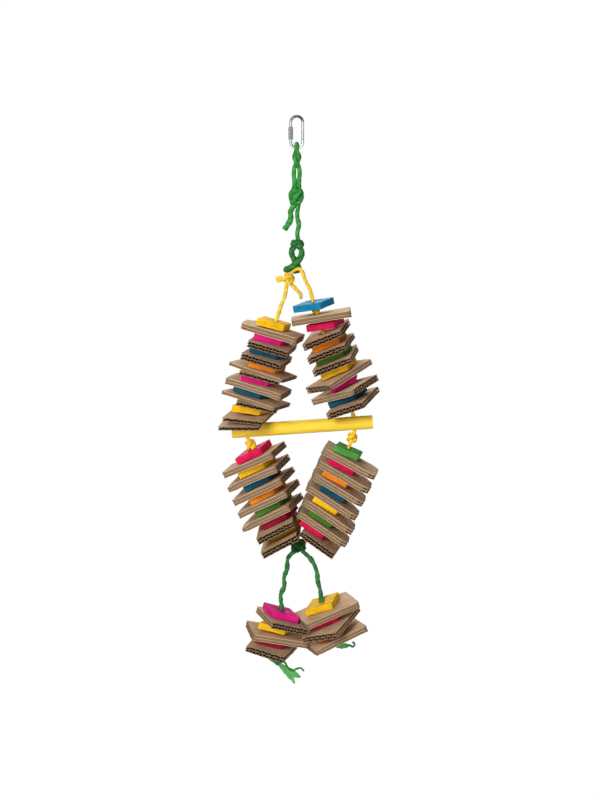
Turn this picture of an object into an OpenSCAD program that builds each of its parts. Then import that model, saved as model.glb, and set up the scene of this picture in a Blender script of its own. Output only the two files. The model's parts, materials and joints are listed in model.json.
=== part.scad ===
// Hanging chew toy for a bird. A steel quick link holds a knotted green paper rope, and a loop of
// yellow paper rope hangs from that. The loop carries four stacks of dyed wood slices and double-wall
// corrugated cardboard round a dowel perch, and two shorter stacks hang from it on green rope.
// The origin is the hanging point, inside the top of the link's upper bow. X is to the right,
// Y away from the front, and Z up.

/* [Quick link] */
// Thickness of the steel wire
wire_d = 2.4; // [2:0.1:2.8]
// Overall height of the link
link_h = 29.6; // [29:0.2:34]
// Overall width of the link
link_w = 12.6; // [12.4:0.2:15]
// Opening between the two wire ends at the gate
gate_gap = 3.2; // [2.8:0.1:3.4]
// Length of the threaded sleeve over the gate
sleeve_l = 11; // [10.4:0.2:11.4]
// Width of the sleeve across its flats
sleeve_w = 4.2; // [3.8:0.1:4.6]
// Gap all round between the wire and the sleeve
sleeve_clear = 0.15; // [0.1:0.05:0.25]

/* [Cardboard] */
// Length of a cardboard rectangle, along its flutes
card_l = 52; // [46:1:56]
// Width of a cardboard rectangle, across its flutes
card_w = 36; // [32:1:40]
// Thickness of the double-wall board
card_t = 5.6; // [5.2:0.1:6.4]
// Thickness of each of the board's three liners
liner_t = 0.6; // [0.4:0.1:0.8]
// Thickness of the wavy sheets between the liners
medium_t = 0.6; // [0.4:0.1:0.8]
// Distance from one wave to the next
flute_pitch = 6.6; // [5.8:0.2:7.6]
// Radius of the rounded corner on boards cut from the end of a sheet
sheet_corner_r = 9; // [4:1:14]

/* [Wood slices] */
// Length of a slice along its long side
slice_l = 25; // [22:1:28]
// Width of a slice across its long sides
slice_w = 20; // [17:1:22]
// Thickness of a slice
slice_t = 6; // [5.6:0.1:6.8]
// Angle that the short sides of a slice lean
slice_skew = 25; // [0:1:30]

/* [Perch] */
// Length of the dowel
perch_l = 124; // [118:1:140]
// Diameter of the dowel
perch_d = 12; // [10:0.5:14]
// Distance between the two rope holes of the dowel
perch_hole_span = 94; // [90:1:98]
// How far the pair of holes lies to the right of the dowel's middle
perch_hole_shift = -1.5; // [-3:0.5:3]
// Height of the dowel's middle below the hanging point
perch_drop = 270; // [266:1:274]
// Tilt of the dowel, with the right end higher when negative
perch_tilt = -4; // [-6:0.5:0]

/* [Ropes] */
// Diameter of the green paper rope
green_d = 3.3; // [2.9:0.1:3.6]
// Diameter of the yellow paper rope
yellow_d = 2.9; // [2.5:0.1:3.3]
// Gap all round between a rope and a hole
rope_clear = 0.9; // [0.85:0.05:1.1]
// Gap between two pieces that rest on each other
seat_gap = 0.3; // [0.2:0.05:0.4]

/* [Hidden] */
// Kinds of piece: double-wall board, slice, single-wall board, double-wall board with two rounded
// corners, and a slice whose short sides lean the other way
CARD = 0;
SLICE = 1;
SHEET = 2;
ROUNDED = 3;
FLIPPED = 4;
// Dyes of the wood slices
YELLOW = [1.0, 0.75, 0.04];
PINK = [0.92, 0.16, 0.55];
CRIMSON = [0.78, 0.10, 0.27];
TEAL = [0.10, 0.51, 0.65];
ORANGE = [0.92, 0.47, 0.12];
GREEN = [0.27, 0.59, 0.20];
BOARD = [0.72, 0.58, 0.45];
GREEN_ROPE = [0.16, 0.51, 0.20];
YELLOW_ROPE = [0.92, 0.76, 0.24];
STEEL = [0.75, 0.77, 0.80];
PERCH_DYE = [0.98, 0.80, 0.24];

// Each row of a stack is [kind, dye, yaw, roll, nod, shift along, shift across], from the top down.
// The shifts say where the rope hole lies from the piece's own middle. An eighth number, where a row
// has one, is bare rope above the piece.
upper_left_rows = [
    [SLICE, YELLOW, 8, 1, 0, 1.5, 0],
    [ROUNDED, BOARD, 168, -2, -1, -1, 0],
    [SLICE, PINK, 0, -2, 0, -1, 0],
    [CARD, BOARD, 80, -2, 0, -4, 2],
    [SLICE, TEAL, -8, -2, 0, -2, 0],
    [CARD, BOARD, 78, -2, 0, -4, 0],
    [SLICE, ORANGE, 0, -2, 0, -3, 0],
    [SHEET, BOARD, -22, -2, 0, -1, 0],
    [SHEET, BOARD, 82, -2, 0, -6, 1],
    [SLICE, PINK, 0, -2, 0, 0, 0],
    [CARD, BOARD, -15, -2, 0, -1, 0],
    [SLICE, TEAL, -10, -2, 0, 2, 0],
    [SHEET, BOARD, -24, -3, 0, -2, 0],
    [SHEET, BOARD, 85, -5, 0, -6, 5],
    [SLICE, YELLOW, 0, -8, 0, 0, 0],
    [SHEET, BOARD, 78, -13, 0, 0, 0],
    [SHEET, BOARD, 80, -19, 0, 0, -3],
];
upper_right_rows = [
    [SLICE, TEAL, -10, 10, 0, 0, 0],
    [CARD, BOARD, 0, 10, -5, -3, 0, 4.2],
    [SLICE, PINK, 0, 10, 0, -4, 0],
    [CARD, BOARD, 80, -3, -2, -4, 1],
    [SLICE, ORANGE, 5, -3, -2, -2, 0],
    [CARD, BOARD, 80, -3, -2, -4, 1],
    [SLICE, GREEN, 0, -3, -2, -2, 0],
    [CARD, BOARD, 82, -3, -2, -4, 1],
    [SLICE, YELLOW, 0, -4, -1, -2, 0],
    [CARD, BOARD, 38, -5, 0, 0, 0],
    [SLICE, PINK, 20, -4, 0, -2, 0],
    [CARD, BOARD, -40, -3, -3, -1, 0],
    [SLICE, TEAL, -10, -3, -2, -1, 0],
    [CARD, BOARD, 72, -2, -2, 0, 4],
];
lower_left_rows = [
    [SLICE, PINK, 0, -4, -2, 0, 0],
    [CARD, BOARD, -18, -5, -4, 2, 0],
    [SLICE, YELLOW, -5, -5, -4, 2, 0],
    [CARD, BOARD, -18, -6, -4, 3, 0],
    [SLICE, TEAL, -5, -6, -4, 2, 0],
    [CARD, BOARD, -18, -7, -4, 3, 0],
    [SLICE, ORANGE, -5, -7, -4, 2, 0],
    [CARD, BOARD, -18, -7, -4, 3, 0],
    [SLICE, GREEN, -5, -7, -4, 1, 0],
    [CARD, BOARD, -18, -8, -4, 5, 0],
    [SLICE, CRIMSON, -5, -8, -4, 0, 0],
    [CARD, BOARD, 88, -7, -2, 0, -5],
    [SLICE, YELLOW, 0, -7, -2, -2, 0],
    [CARD, BOARD, 88, -8, -2, 0, -6],
];
lower_right_rows = [
    [SLICE, GREEN, 14, 8, 0, -1, 0],
    [ROUNDED, BOARD, -8, 9, 0, -6, 0],
    [SLICE, CRIMSON, 8, 10, 0, -2, 0],
    [ROUNDED, BOARD, -5, 11, 0, -5, 0],
    [SLICE, ORANGE, 4, 11, 0, -1, 0],
    [ROUNDED, BOARD, -5, 12, 0, -4, 0],
    [SLICE, TEAL, 4, 13, 0, -3, 0],
    [ROUNDED, BOARD, -5, 14, 0, -3, 0],
    [SLICE, YELLOW, 4, 14, 0, -1, 0],
    [ROUNDED, BOARD, -5, 15, 0, -4, 0],
    [SLICE, GREEN, 8, 15, 0, 0, 0],
    [ROUNDED, BOARD, -5, 15, 0, -3, 0],
    [SLICE, PINK, 4, 15, 0, 3, 0],
    [CARD, BOARD, 80, 15, 0, 0, 5],
];
bottom_left_rows = [
    [FLIPPED, PINK, 0, 2, 0, 0, 0],
    [CARD, BOARD, 106, 3, -5, 0, 3.4],
    [SLICE, YELLOW, 0, 3, -2, 1, 0],
    [CARD, BOARD, 11, 1, 0, -1, 0],
    [SLICE, CRIMSON, -6, 1, 0, 0, 0],
    [CARD, BOARD, 75, 2, 0, 0, -1],
];
bottom_right_rows = [
    [SLICE, YELLOW, 4, 6, 7, 0, 0],
    [CARD, BOARD, 18, 4, 5, -1.5, 0],
    [SLICE, CRIMSON, 8, 3, 4, 0, 0],
    [CARD, BOARD, 62, 1, 3, 1, 1.4],
    [SLICE, ORANGE, 10, 1, 2, 0, 0],
    [CARD, BOARD, 18, 0, 1, 0, 0],
];

// Lean of each stack's rope in the front view, and its nod towards the front
upper_left_lean = [16, 0];
upper_right_lean = [-19.5, 0];
lower_left_lean = [-21, 0];
lower_right_lean = [19, 0];
bottom_left_lean = [12, 0];
bottom_right_lean = [-21, 0];

// Place of the dowel's middle to the right of the hanging point
perch_x = 4.8;

// Free rope between the dowel and the nearest piece of each stack
upper_left_seat = 0.5;
upper_right_seat = 9.5;
lower_left_seat = 11.5;
lower_right_seat = 17;

// Free rope between the end of the lower stacks and the knot under them
bottom_knot_drop = 5;

// Knots and frayed ends
knot_lip = 0.3;
hanger_knot_at = [-0.5, 0, -67];
hanger_knot_d = 12.6;
hanger_knot_h = 14;
eye_knot_at = [0, 0, -108.2];
eye_knot_d = 11.4;
eye_knot_h = 4.8;
eye_rope_d = 4.2;
yellow_knot_at = [-7.2, -0.5, -138.4];
yellow_knot_d = 11;
yellow_knot_h = 8.8;
perch_knot_d = 9.6;
perch_knot_h = 8;
stop_knot_d = 7;
stop_knot_h = 3.4;
stop_knot_lift = 1.2;
bottom_knot_d = 12;
bottom_knot_w = 12.6;
tail_d = 4.4;
ribbon_t = 1.2;
strand_d = 1.5;
left_ribbon = [
    [-0.5, -1.4], [6, -3], [15, -4.6], [23, -4.8], [18.6, -0.6], [22.6, 4], [15, 3.4], [6, 2], [-0.5, 1.4]
];
right_ribbon = [
    [-0.5, -1.4], [3, -3], [8, -3.2], [12, -1.6], [14, -0.6], [14, 0.6], [9, 2], [4, 2.8], [-0.5, 1.4]
];
left_tail_turn = 42;
right_tail_turn = 2;

green_hole_d = green_d + 2 * rope_clear;
yellow_hole_d = yellow_d + 2 * rope_clear;
layer_h = (card_t - 3 * liner_t) / 2;
sheet_t = layer_h + 2 * liner_t;

// Heights of the link's two bow centres, its sleeve and its gate. The sleeve rests a little above the
// gate's lower end, and can slide up by the rest of its length.
bow_r = (link_w - wire_d) / 2;
bow_top = wire_d / 2 - bow_r;
bow_bottom = wire_d / 2 * 3 + bow_r - link_h;
sleeve_mid = -link_h / 2 + 1.8;
gate_mid = sleeve_mid - sleeve_l / 2 + gate_gap / 2 + 0.4;

function turn_y(p, a) = [p.x * cos(a) + p.z * sin(a), p.y, -p.x * sin(a) + p.z * cos(a)];
function up_axis(lean) = turn_y([0, -sin(lean[1]), cos(lean[1])], lean[0]);

// Outlines of the two flat pieces, seen along the rope
function card_outline() = [
    [-card_l / 2, -card_w / 2], [card_l / 2, -card_w / 2], [card_l / 2, card_w / 2], [-card_l / 2, card_w / 2]
];
function slice_outline(side) = let (s = side * slice_w * tan(slice_skew) / 2) [
    [-slice_l / 2 - s, -slice_w / 2], [slice_l / 2 - s, -slice_w / 2],
    [slice_l / 2 + s, slice_w / 2], [-slice_l / 2 + s, slice_w / 2]
];
function is_slice(row) = row[0] == SLICE || row[0] == FLIPPED;
function side_up(row) = row[0] == FLIPPED ? -1 : 1;
function footprint(row) = [
    for (p = is_slice(row) ? slice_outline(side_up(row)) : card_outline())
        let (x = p.x - row[5], y = p.y - row[6])
            [x * cos(row[2]) - y * sin(row[2]), x * sin(row[2]) + y * cos(row[2])]
];
function piece_t(row) = is_slice(row) ? slice_t : row[0] == SHEET ? sheet_t : card_t;
function thickness(row) = piece_t(row) / (cos(row[3]) * cos(row[4]));

// Two pieces that tilt differently meet at an edge, so the rope shows a little more between them.
function bare_rope(row) = len(row) > 7 ? row[7] : 0;
function play(above, below) =
    let (dx = tan(below[3]) - tan(above[3]), dy = tan(below[4]) - tan(above[4]))
        seat_gap + bare_rope(below)
            + max([0, for (p = footprint(is_slice(above) ? above : below)) p.y * dy - p.x * dx]);
function drop(rows, i) = i == 0 ? 0 : drop(rows, i - 1) + thickness(rows[i - 1]) + play(rows[i - 1], rows[i]);
function stack_h(rows) = let (n = len(rows)) drop(rows, n - 1) + thickness(rows[n - 1]);

function perch_hole(side, z) =
    [perch_x, 0, -perch_drop] + turn_y([perch_hole_shift + side * perch_hole_span / 2, 0, z], perch_tilt);
upper_left_top = perch_hole(-1, perch_d / 2)
    + up_axis(upper_left_lean) * (upper_left_seat + stack_h(upper_left_rows));
upper_right_top = perch_hole(1, perch_d / 2)
    + up_axis(upper_right_lean) * (upper_right_seat + stack_h(upper_right_rows));
lower_left_top = perch_hole(-1, -perch_d / 2) - up_axis(lower_left_lean) * lower_left_seat;
lower_right_top = perch_hole(1, -perch_d / 2) - up_axis(lower_right_lean) * lower_right_seat;

lower_left_end = lower_left_top - up_axis(lower_left_lean) * stack_h(lower_left_rows);
lower_right_end = lower_right_top - up_axis(lower_right_lean) * stack_h(lower_right_rows);

// The bottom knot is tied round the yellow rope, below the two lower stacks.
bottom_knot_at = [1.2, 0, min(lower_left_end.z, lower_right_end.z) - bottom_knot_drop];
bottom_left_top = bottom_knot_at + [-15, 0, -60];
bottom_right_top = bottom_knot_at + [20.6, 0, -52];
bottom_left_end = bottom_left_top - up_axis(bottom_left_lean) * stack_h(bottom_left_rows);
bottom_right_end = bottom_right_top - up_axis(bottom_right_lean) * stack_h(bottom_right_rows);

left_tail_at = bottom_left_end + [6, 0, -13];
right_tail_at = bottom_right_end + [-1.2, 0, -5.2];

// Rope routes. Round numbers are points chosen by hand, and the rest lie on the stacks' own axes.
hanger_loop = [
    [-2.2, 0, -60], [-1.8, 0, -55], [-2.5, 0, -47.5], [-1.9, 0, -42.5], [0, 1.9, -38.5], [1.9, 0, -34.5],
    [1.4, -1.6, -31], [0, -3.2, -27], [0, -2.5, -23.5], [0, 0, -22.5], [0, 2.5, -23.5], [0, 3.2, -27],
    [-1.4, 1.6, -31], [-1.9, 0, -34.5], [0, -1.9, -38.5], [1.9, 0, -42.5], [2.5, 0, -47.5],
    [1.8, 0, -55], [2, 0, -60]
];
hanger_tail = [[-2.6, 0, -74], [-3.2, 0, -76], [-5.2, 0, -80], [-5.3, 0, -87], [-10.5, 0, -96]];
hanger_strand = [[1.4, 0, -74], [0.4, 0, -84], [1.8, 0, -92], [0.5, 0, -99], [1.2, 0, -105.8]];
hanger_eye = [
    [2.2, 0, -110.6], [4.2, 0, -114], [3.9, -0.8, -118], [1.2, -2.7, -122.5], [-4.4, -3.3, -127.5],
    [-8.6, 0.2, -130.4], [-8, 5.5, -131.2], [-2.5, 6.6, -132.6], [1.6, 4, -131.4], [-0.6, 2.4, -124.5],
    [-3.9, 1.2, -118.6], [-4.3, 0, -114], [-2.2, 0, -110.6]
];
yellow_loop = concat(
    [[-5.4, -0.5, -134], [-2.6, -0.4, -131.4], [1.6, -2, -129.4], [4.6, -2, -132]],
    [[7.4, -1, -140], [11, 0, -147], upper_right_top],
    [perch_hole(1, perch_d / 2), perch_hole(1, -perch_d / 2), lower_right_top, lower_right_end],
    [bottom_knot_at + [bottom_knot_w / 2 + 1, 0, 0], bottom_knot_at - [bottom_knot_w / 2 + 1, 0, 0]],
    [lower_left_end, lower_left_top, perch_hole(-1, -perch_d / 2), perch_hole(-1, perch_d / 2)],
    [upper_left_top],
    [[-16, 0, -170], [-13.6, 0, -162], [-10.6, 0, -155], [-9.4, 0, -149], [-8.8, -0.5, -142.8]]
);
yellow_tail = [[-5.6, -0.5, -142.8], [-0.3, -1, -148], [3.4, 0, -152.4], [3.6, 2, -156]];
yellow_stub = [[-13, -0.5, -138], [-17.5, -0.5, -140]];
left_leg = concat(
    [for (p = [
        [-2.4, 0, -4.4], [-9, 0, -12], [-10, 0, -22], [-12.6, 0, -30], [-12.4, 0, -38], [-15.6, 0, -46]
    ])
        bottom_knot_at + p],
    [bottom_left_top, bottom_left_end, bottom_left_end + [-3, 0, -6]],
    [left_tail_at + [-3, 0, 2.5], left_tail_at]
);
right_leg = concat(
    [for (p = [[2.4, 0, -4.4], [12, 0, -14], [16.6, 0, -25], [17.4, 0, -33], [19.6, 0, -42]])
        bottom_knot_at + p],
    [bottom_right_top, bottom_right_end, bottom_right_end + [0.2, 0, -3], right_tail_at]
);
left_strand = [
    for (p = [
        [1, 0, 1.6], [5, -0.5, 1.8], [8, -1, -3], [12, -1, -6], [16, 0, -4.4], [19.6, 0.5, -4],
        [22.4, 0, -6.6]
    ])
        left_tail_at + p
];
right_strand = [
    for (p = [[13.4, 0, -0.6], [15.4, 0, -1.8], [17.2, 0, -0.8], [17.2, 0, 1.6], [15.4, 0, 2.4]])
        right_tail_at + p
];

// Each stack is [name, top, lean, rows, hole diameter].
STACKS = [
    ["upper_left", upper_left_top, upper_left_lean, upper_left_rows, yellow_hole_d],
    ["upper_right", upper_right_top, upper_right_lean, upper_right_rows, yellow_hole_d],
    ["lower_left", lower_left_top, lower_left_lean, lower_left_rows, yellow_hole_d],
    ["lower_right", lower_right_top, lower_right_lean, lower_right_rows, yellow_hole_d],
    ["bottom_left", bottom_left_top, bottom_left_lean, bottom_left_rows, green_hole_d],
    ["bottom_right", bottom_right_top, bottom_right_lean, bottom_right_rows, green_hole_d],
];

// Puts a piece of a stack at its place on the rope.
module on_rope(stack, i) {
    row = stack[3][i];
    translate(stack[1])
        rotate([stack[2][1], stack[2][0], 0])
            translate([0, 0, -drop(stack[3], i) - thickness(row) / 2])
                rotate([row[4], row[3], 0])
                    rotate([0, 0, row[2]])
                        translate([-row[5], -row[6], 0])
                            children();
}

// Section of the board across its flutes: tall channels on both sides of each wavy sheet
module board_section(layers) {
    slope_w = flute_pitch / 4;
    half_top = flute_pitch / 2 - medium_t;
    waves = floor(card_w / flute_pitch / 2);
    difference() {
        square([card_w, layers * (layer_h + liner_t) + liner_t], center = true);
        for (layer = [1 : layers])
            translate([0, (layer - (layers + 1) / 2) * (layer_h + liner_t)])
                for (half_wave = [-2 * waves : 2 * waves]) {
                    wide = half_wave % 2 == 0 ? 1 : -1;
                    translate([half_wave * flute_pitch / 2, 0])
                        polygon([
                            [-half_top, wide * layer_h / 2], [half_top, wide * layer_h / 2],
                            [half_top - slope_w, -wide * (layer_h / 2 - medium_t)],
                            [slope_w - half_top, -wide * (layer_h / 2 - medium_t)]
                        ]);
                }
    }
}

module board(layers, corner_r) {
    difference() {
        rotate([90, 0, 90])
            linear_extrude(card_l, center = true)
                board_section(layers);
        if (corner_r > 0)
            linear_extrude(2 * card_t, center = true)
                for (side = [-1, 1])
                    difference() {
                        translate([card_l / 2, side * card_w / 2])
                            square(2 * corner_r, center = true);
                        translate([card_l / 2 - corner_r, side * (card_w / 2 - corner_r)])
                            circle(r = corner_r);
                    }
        children();
    }
}

module slice(side) {
    difference() {
        linear_extrude(slice_t, center = true)
            polygon(slice_outline(side));
        children();
    }
}

module rope_hole(stack, i) {
    row = stack[3][i];
    translate([row[5], row[6], 0])
        cylinder(d = stack[4], h = 2 * max(card_t, slice_t), center = true);
}

module stack_card(stack, i) {
    color(BOARD)
        on_rope(stack, i)
            board(stack[3][i][0] == SHEET ? 1 : 2, stack[3][i][0] == ROUNDED ? sheet_corner_r : 0)
                rope_hole(stack, i);
}

module stack_slices(stack) {
    for (i = [0 : len(stack[3]) - 1])
        if (is_slice(stack[3][i]))
            color(stack[3][i][1])
                on_rope(stack, i)
                    slice(side_up(stack[3][i])) rope_hole(stack, i);
}

module perch() {
    color(PERCH_DYE)
        translate([perch_x, 0, -perch_drop])
            rotate([0, perch_tilt, 0])
                difference() {
                    rotate([0, 90, 0])
                        cylinder(d = perch_d, h = perch_l, center = true);
                    for (side = [-1, 1])
                        translate([perch_hole_shift + side * perch_hole_span / 2, 0, 0])
                            cylinder(d = yellow_hole_d, h = 2 * perch_d, center = true);
                }
}

// The link lies in the front plane: two bows, a plain side, and a side that is cut at the gate.
module link() {
    color(STEEL)
        difference() {
            union() {
                for (end = [[bow_top, 0], [bow_bottom, 180]])
                    translate([0, 0, end[0]])
                        rotate([90, 0, 0])
                            rotate([0, 0, end[1]])
                                rotate_extrude(angle = 180)
                                    translate([bow_r, 0])
                                        circle(d = wire_d);
                for (side = [-1, 1])
                    translate([side * bow_r, 0, bow_bottom])
                        cylinder(d = wire_d, h = bow_top - bow_bottom);
            }
            translate([-bow_r, 0, gate_mid])
                cube([2 * wire_d, 2 * wire_d, gate_gap], center = true);
        }
}

module link_sleeve() {
    color(STEEL)
        translate([-bow_r, 0, sleeve_mid])
            difference() {
                intersection() {
                    rotate([0, 0, 30])
                        cylinder(d = sleeve_w / cos(30), h = sleeve_l, center = true, $fn = 6);
                    rotate_extrude()
                        polygon([
                            [0, -sleeve_l / 2], [sleeve_w / 2, -sleeve_l / 2],
                            [sleeve_w / 2 / cos(30), -sleeve_l / 2 + 0.5],
                            [sleeve_w / 2 / cos(30), sleeve_l / 2 - 0.5],
                            [sleeve_w / 2, sleeve_l / 2], [0, sleeve_l / 2]
                        ]);
                }
                cylinder(d = wire_d + 2 * sleeve_clear, h = 2 * sleeve_l, center = true);
            }
}

// A knot is a short barrel of rope turns round a flat-ended core, with a hole where a rope runs on
// through it.
module knot(d, h, turns, hole_d) {
    turn_d = min(d / 2.8, (h - 2 * knot_lip) / (turns - 0.3 * (turns - 1)));
    step = turns > 1 ? (h - 2 * knot_lip - turn_d) / (turns - 1) : 0;
    rotate_extrude()
        difference() {
            union() {
                translate([0, -h / 2])
                    square([(d - turn_d) / 2, h]);
                for (k = [0 : turns - 1])
                    translate([(d - turn_d) / 2, k * step - (turns - 1) * step / 2])
                        circle(d = turn_d);
            }
            translate([-d, -h])
                square([d + hole_d / 2, 2 * h]);
        }
}

// Sweeps a round section along the points of a rope.
function unit(v) = v / norm(v);
function heading(p, i) = let (n = len(p) - 1)
    unit((i < n ? unit(p[i + 1] - p[i]) : [0, 0, 0]) + (i > 0 ? unit(p[i] - p[i - 1]) : [0, 0, 0]));
function carry(p, i) = let (t = heading(p, i), n = i == 0 ? [0.02, 1, 0.01] : carry(p, i - 1))
    unit(n - (n * t) * t);
module tube(p, d) {
    sides = 8;
    n = len(p);
    rings = [
        for (i = [0 : n - 1]) let (t = heading(p, i), u = carry(p, i), v = cross(t, u))
            for (k = [0 : sides - 1]) p[i] + d / 2 * (cos(k * 360 / sides) * u + sin(k * 360 / sides) * v)
    ];
    walls = [
        for (i = [0 : n - 2]) for (k = [0 : sides - 1])
            let (a = i * sides + k, b = i * sides + (k + 1) % sides)
                each [[a, b + sides, b], [a, a + sides, b + sides]]
    ];
    polyhedron(rings, concat(
        [[for (k = [0 : sides - 1]) k]],
        walls,
        [[for (k = [sides - 1 : -1 : 0]) (n - 1) * sides + k]]
    ));
}

module hanger_rope() {
    color(GREEN_ROPE) {
        tube(hanger_loop, green_d);
        tube(hanger_tail, tail_d);
        tube(hanger_strand, green_d);
        tube(hanger_eye, eye_rope_d);
    }
}

module hanger_knots() {
    color(GREEN_ROPE) {
        translate(hanger_knot_at)
            knot(hanger_knot_d, hanger_knot_h, 3, 0);
        translate(eye_knot_at)
            knot(eye_knot_d, eye_knot_h, 1, 0);
    }
}

module yellow_rope() {
    color(YELLOW_ROPE) {
        tube(yellow_loop, yellow_d);
        tube(yellow_tail, yellow_d);
        tube(yellow_stub, yellow_d);
    }
}

module yellow_knot() {
    color(YELLOW_ROPE)
        translate(yellow_knot_at)
            knot(yellow_knot_d, yellow_knot_h, 2, 0);
}

module perch_knots() {
    color(YELLOW_ROPE)
        for (side = [-1, 1]) {
            lean = side < 0 ? lower_left_lean : lower_right_lean;
            seat = perch_knot_d / 2 * abs(tan(lean[0] - perch_tilt)) + seat_gap;
            translate(perch_hole(side, -perch_d / 2))
                rotate([lean[1], lean[0], 0])
                    translate([0, 0, -seat - perch_knot_h / 2])
                        knot(perch_knot_d, perch_knot_h, 2, yellow_d + 2 * seat_gap);
        }
}

module top_stop_knot() {
    stack = STACKS[1];
    color(YELLOW_ROPE)
        translate(stack[1])
            rotate([stack[2][1], stack[2][0], 0])
                translate([0, 0, -drop(stack[3], 1) + stop_knot_h / 2 + stop_knot_lift])
                    knot(stop_knot_d, stop_knot_h, 1, yellow_d + 2 * seat_gap);
}

module bottom_knot() {
    color(GREEN_ROPE)
        translate(bottom_knot_at)
            rotate([0, 90, 0])
                knot(bottom_knot_d, bottom_knot_w, 3, yellow_d + 2 * seat_gap);
}

module bottom_rope() {
    color(GREEN_ROPE) {
        tube(left_leg, green_d);
        tube(right_leg, green_d);
    }
}

// A frayed rope end opens into a flat ribbon and leaves one thin strand loose.
module ribbon(at, turn, outline) {
    translate(at)
        rotate([90, 0, 0])
            rotate([0, 0, -turn])
                linear_extrude(ribbon_t, center = true)
                    polygon(outline);
}

module rope_tails() {
    color(GREEN_ROPE) {
        ribbon(left_tail_at, left_tail_turn, left_ribbon);
        ribbon(right_tail_at, right_tail_turn, right_ribbon);
        tube(left_strand, strand_d);
        tube(right_strand, strand_d);
    }
}

function cards_of(rows) = [for (i = [0 : len(rows) - 1]) if (!is_slice(rows[i])) i];
link();
link_sleeve();
hanger_rope();
hanger_knots();
yellow_rope();
yellow_knot();
perch_knots();
top_stop_knot();
perch();
bottom_knot();
bottom_rope();
rope_tails();
for (s = STACKS)
    stack_slices(s);
for (s = STACKS)
    for (k = [1 : len(cards_of(s[3]))])
        stack_card(s, cards_of(s[3])[k - 1]);
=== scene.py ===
"""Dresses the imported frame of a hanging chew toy.

The toy is a steel quick link, knotted paper ropes, a dowel perch, and six stacks of double-wall
corrugated boards and dyed wood slices. Boards and slices are read back from the solids of the frame,
so each dressed piece lies exactly where its solid does.
"""

import json
import logging
import math
from dataclasses import dataclass, replace
from enum import Enum
from typing import Sequence

import bpy
import numpy as np
from mathutils import Matrix, Vector

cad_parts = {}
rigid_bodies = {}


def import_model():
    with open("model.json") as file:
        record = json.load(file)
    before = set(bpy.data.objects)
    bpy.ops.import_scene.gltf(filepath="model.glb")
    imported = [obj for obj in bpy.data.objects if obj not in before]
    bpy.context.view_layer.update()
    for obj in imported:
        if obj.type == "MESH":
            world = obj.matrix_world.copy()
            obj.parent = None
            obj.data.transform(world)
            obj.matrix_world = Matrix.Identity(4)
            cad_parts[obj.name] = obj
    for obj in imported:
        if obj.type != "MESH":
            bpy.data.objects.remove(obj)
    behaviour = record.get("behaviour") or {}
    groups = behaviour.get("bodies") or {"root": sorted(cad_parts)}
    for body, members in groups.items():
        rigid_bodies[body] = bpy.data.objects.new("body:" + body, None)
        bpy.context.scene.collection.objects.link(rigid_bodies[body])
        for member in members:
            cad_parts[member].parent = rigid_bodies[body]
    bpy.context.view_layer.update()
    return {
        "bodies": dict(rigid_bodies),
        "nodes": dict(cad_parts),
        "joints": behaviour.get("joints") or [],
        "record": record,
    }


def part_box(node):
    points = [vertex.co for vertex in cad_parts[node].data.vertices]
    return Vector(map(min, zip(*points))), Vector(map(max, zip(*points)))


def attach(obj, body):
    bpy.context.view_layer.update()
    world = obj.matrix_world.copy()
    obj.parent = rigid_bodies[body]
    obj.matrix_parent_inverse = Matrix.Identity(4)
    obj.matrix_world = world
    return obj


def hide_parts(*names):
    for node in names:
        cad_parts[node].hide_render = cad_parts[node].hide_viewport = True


LOG = logging.getLogger("chew_toy")
MM = 0.001
TOY_BODY = "toy"
LOTS_PER_STACK = 20
TIP_REACH = 0.2 * MM
BOARD_SEED = 1000
SLICE_SEED = 3000
ROPE_SEED = 500
STRIP_SEED = 700
NEARLY_SQUARE = 0.02
NEARLY_ALONG = 0.999
LIKELY_FACES = 60
SHARP_CORNER = 2 * MM
ROPE_STEPS = 0.25

Colour = tuple[float, float, float]
Point = tuple[float, float, float]
Points = np.ndarray
Socket = bpy.types.NodeSocket


class Dye(Enum):
    """Dyes of the wood slices, as linear colours; some are darker copies that paint shade on slices in
    shadow, and one is a lighter copy that paints light on a lit slice.
    """

    YELLOW = (0.93, 0.53, 0.003)
    PINK = (0.76, 0.006, 0.23)
    ROSE = (0.70, 0.003, 0.085)
    CRIMSON = (0.40, 0.006, 0.04)
    TEAL = (0.003, 0.21, 0.40)
    # Darker copy of teal, painted shade for teal slices in the shadowed gaps of the stacks.
    DEEP_TEAL = (0.003, 0.080, 0.14)
    ORANGE = (0.82, 0.24, 0.006)
    # Darker copy of yellow, painted shade for the lowest slice of the lower left stack.
    OCHRE = (0.46, 0.25, 0.012)
    GREEN = (0.07, 0.20, 0.022)
    # Lighter copy of green, painted light for the top slice of the lower right stack.
    LEAF = (0.09, 0.36, 0.06)


class RopeColour(Enum):
    """The twisted papers, each with its name, its linear colour and the share of that colour left in the
    painted shade of its grooves.
    """

    GREEN = ("green paper rope", (0.042, 0.34, 0.052), 0.45)
    # Darker copy of the green paper, painted shade on the legs of the bottom rope.
    MOSS_GREEN = ("moss green paper rope", (0.036, 0.235, 0.05), 0.45)
    # Darker copy of the green paper, painted shade on the eye and its knot.
    DEEP_GREEN = ("deep green paper rope", (0.028, 0.225, 0.040), 0.45)
    # Much darker copy of the green paper, painted shade on the bottom knot under the stacks.
    BOTTLE_GREEN = ("bottle green paper rope", (0.008, 0.085, 0.018), 0.45)
    YELLOW = ("yellow paper rope", (0.95, 0.60, 0.03), 0.76)
    PALE_GREEN = ("flattened paper", (0.11, 0.45, 0.12), 0.72)


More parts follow.
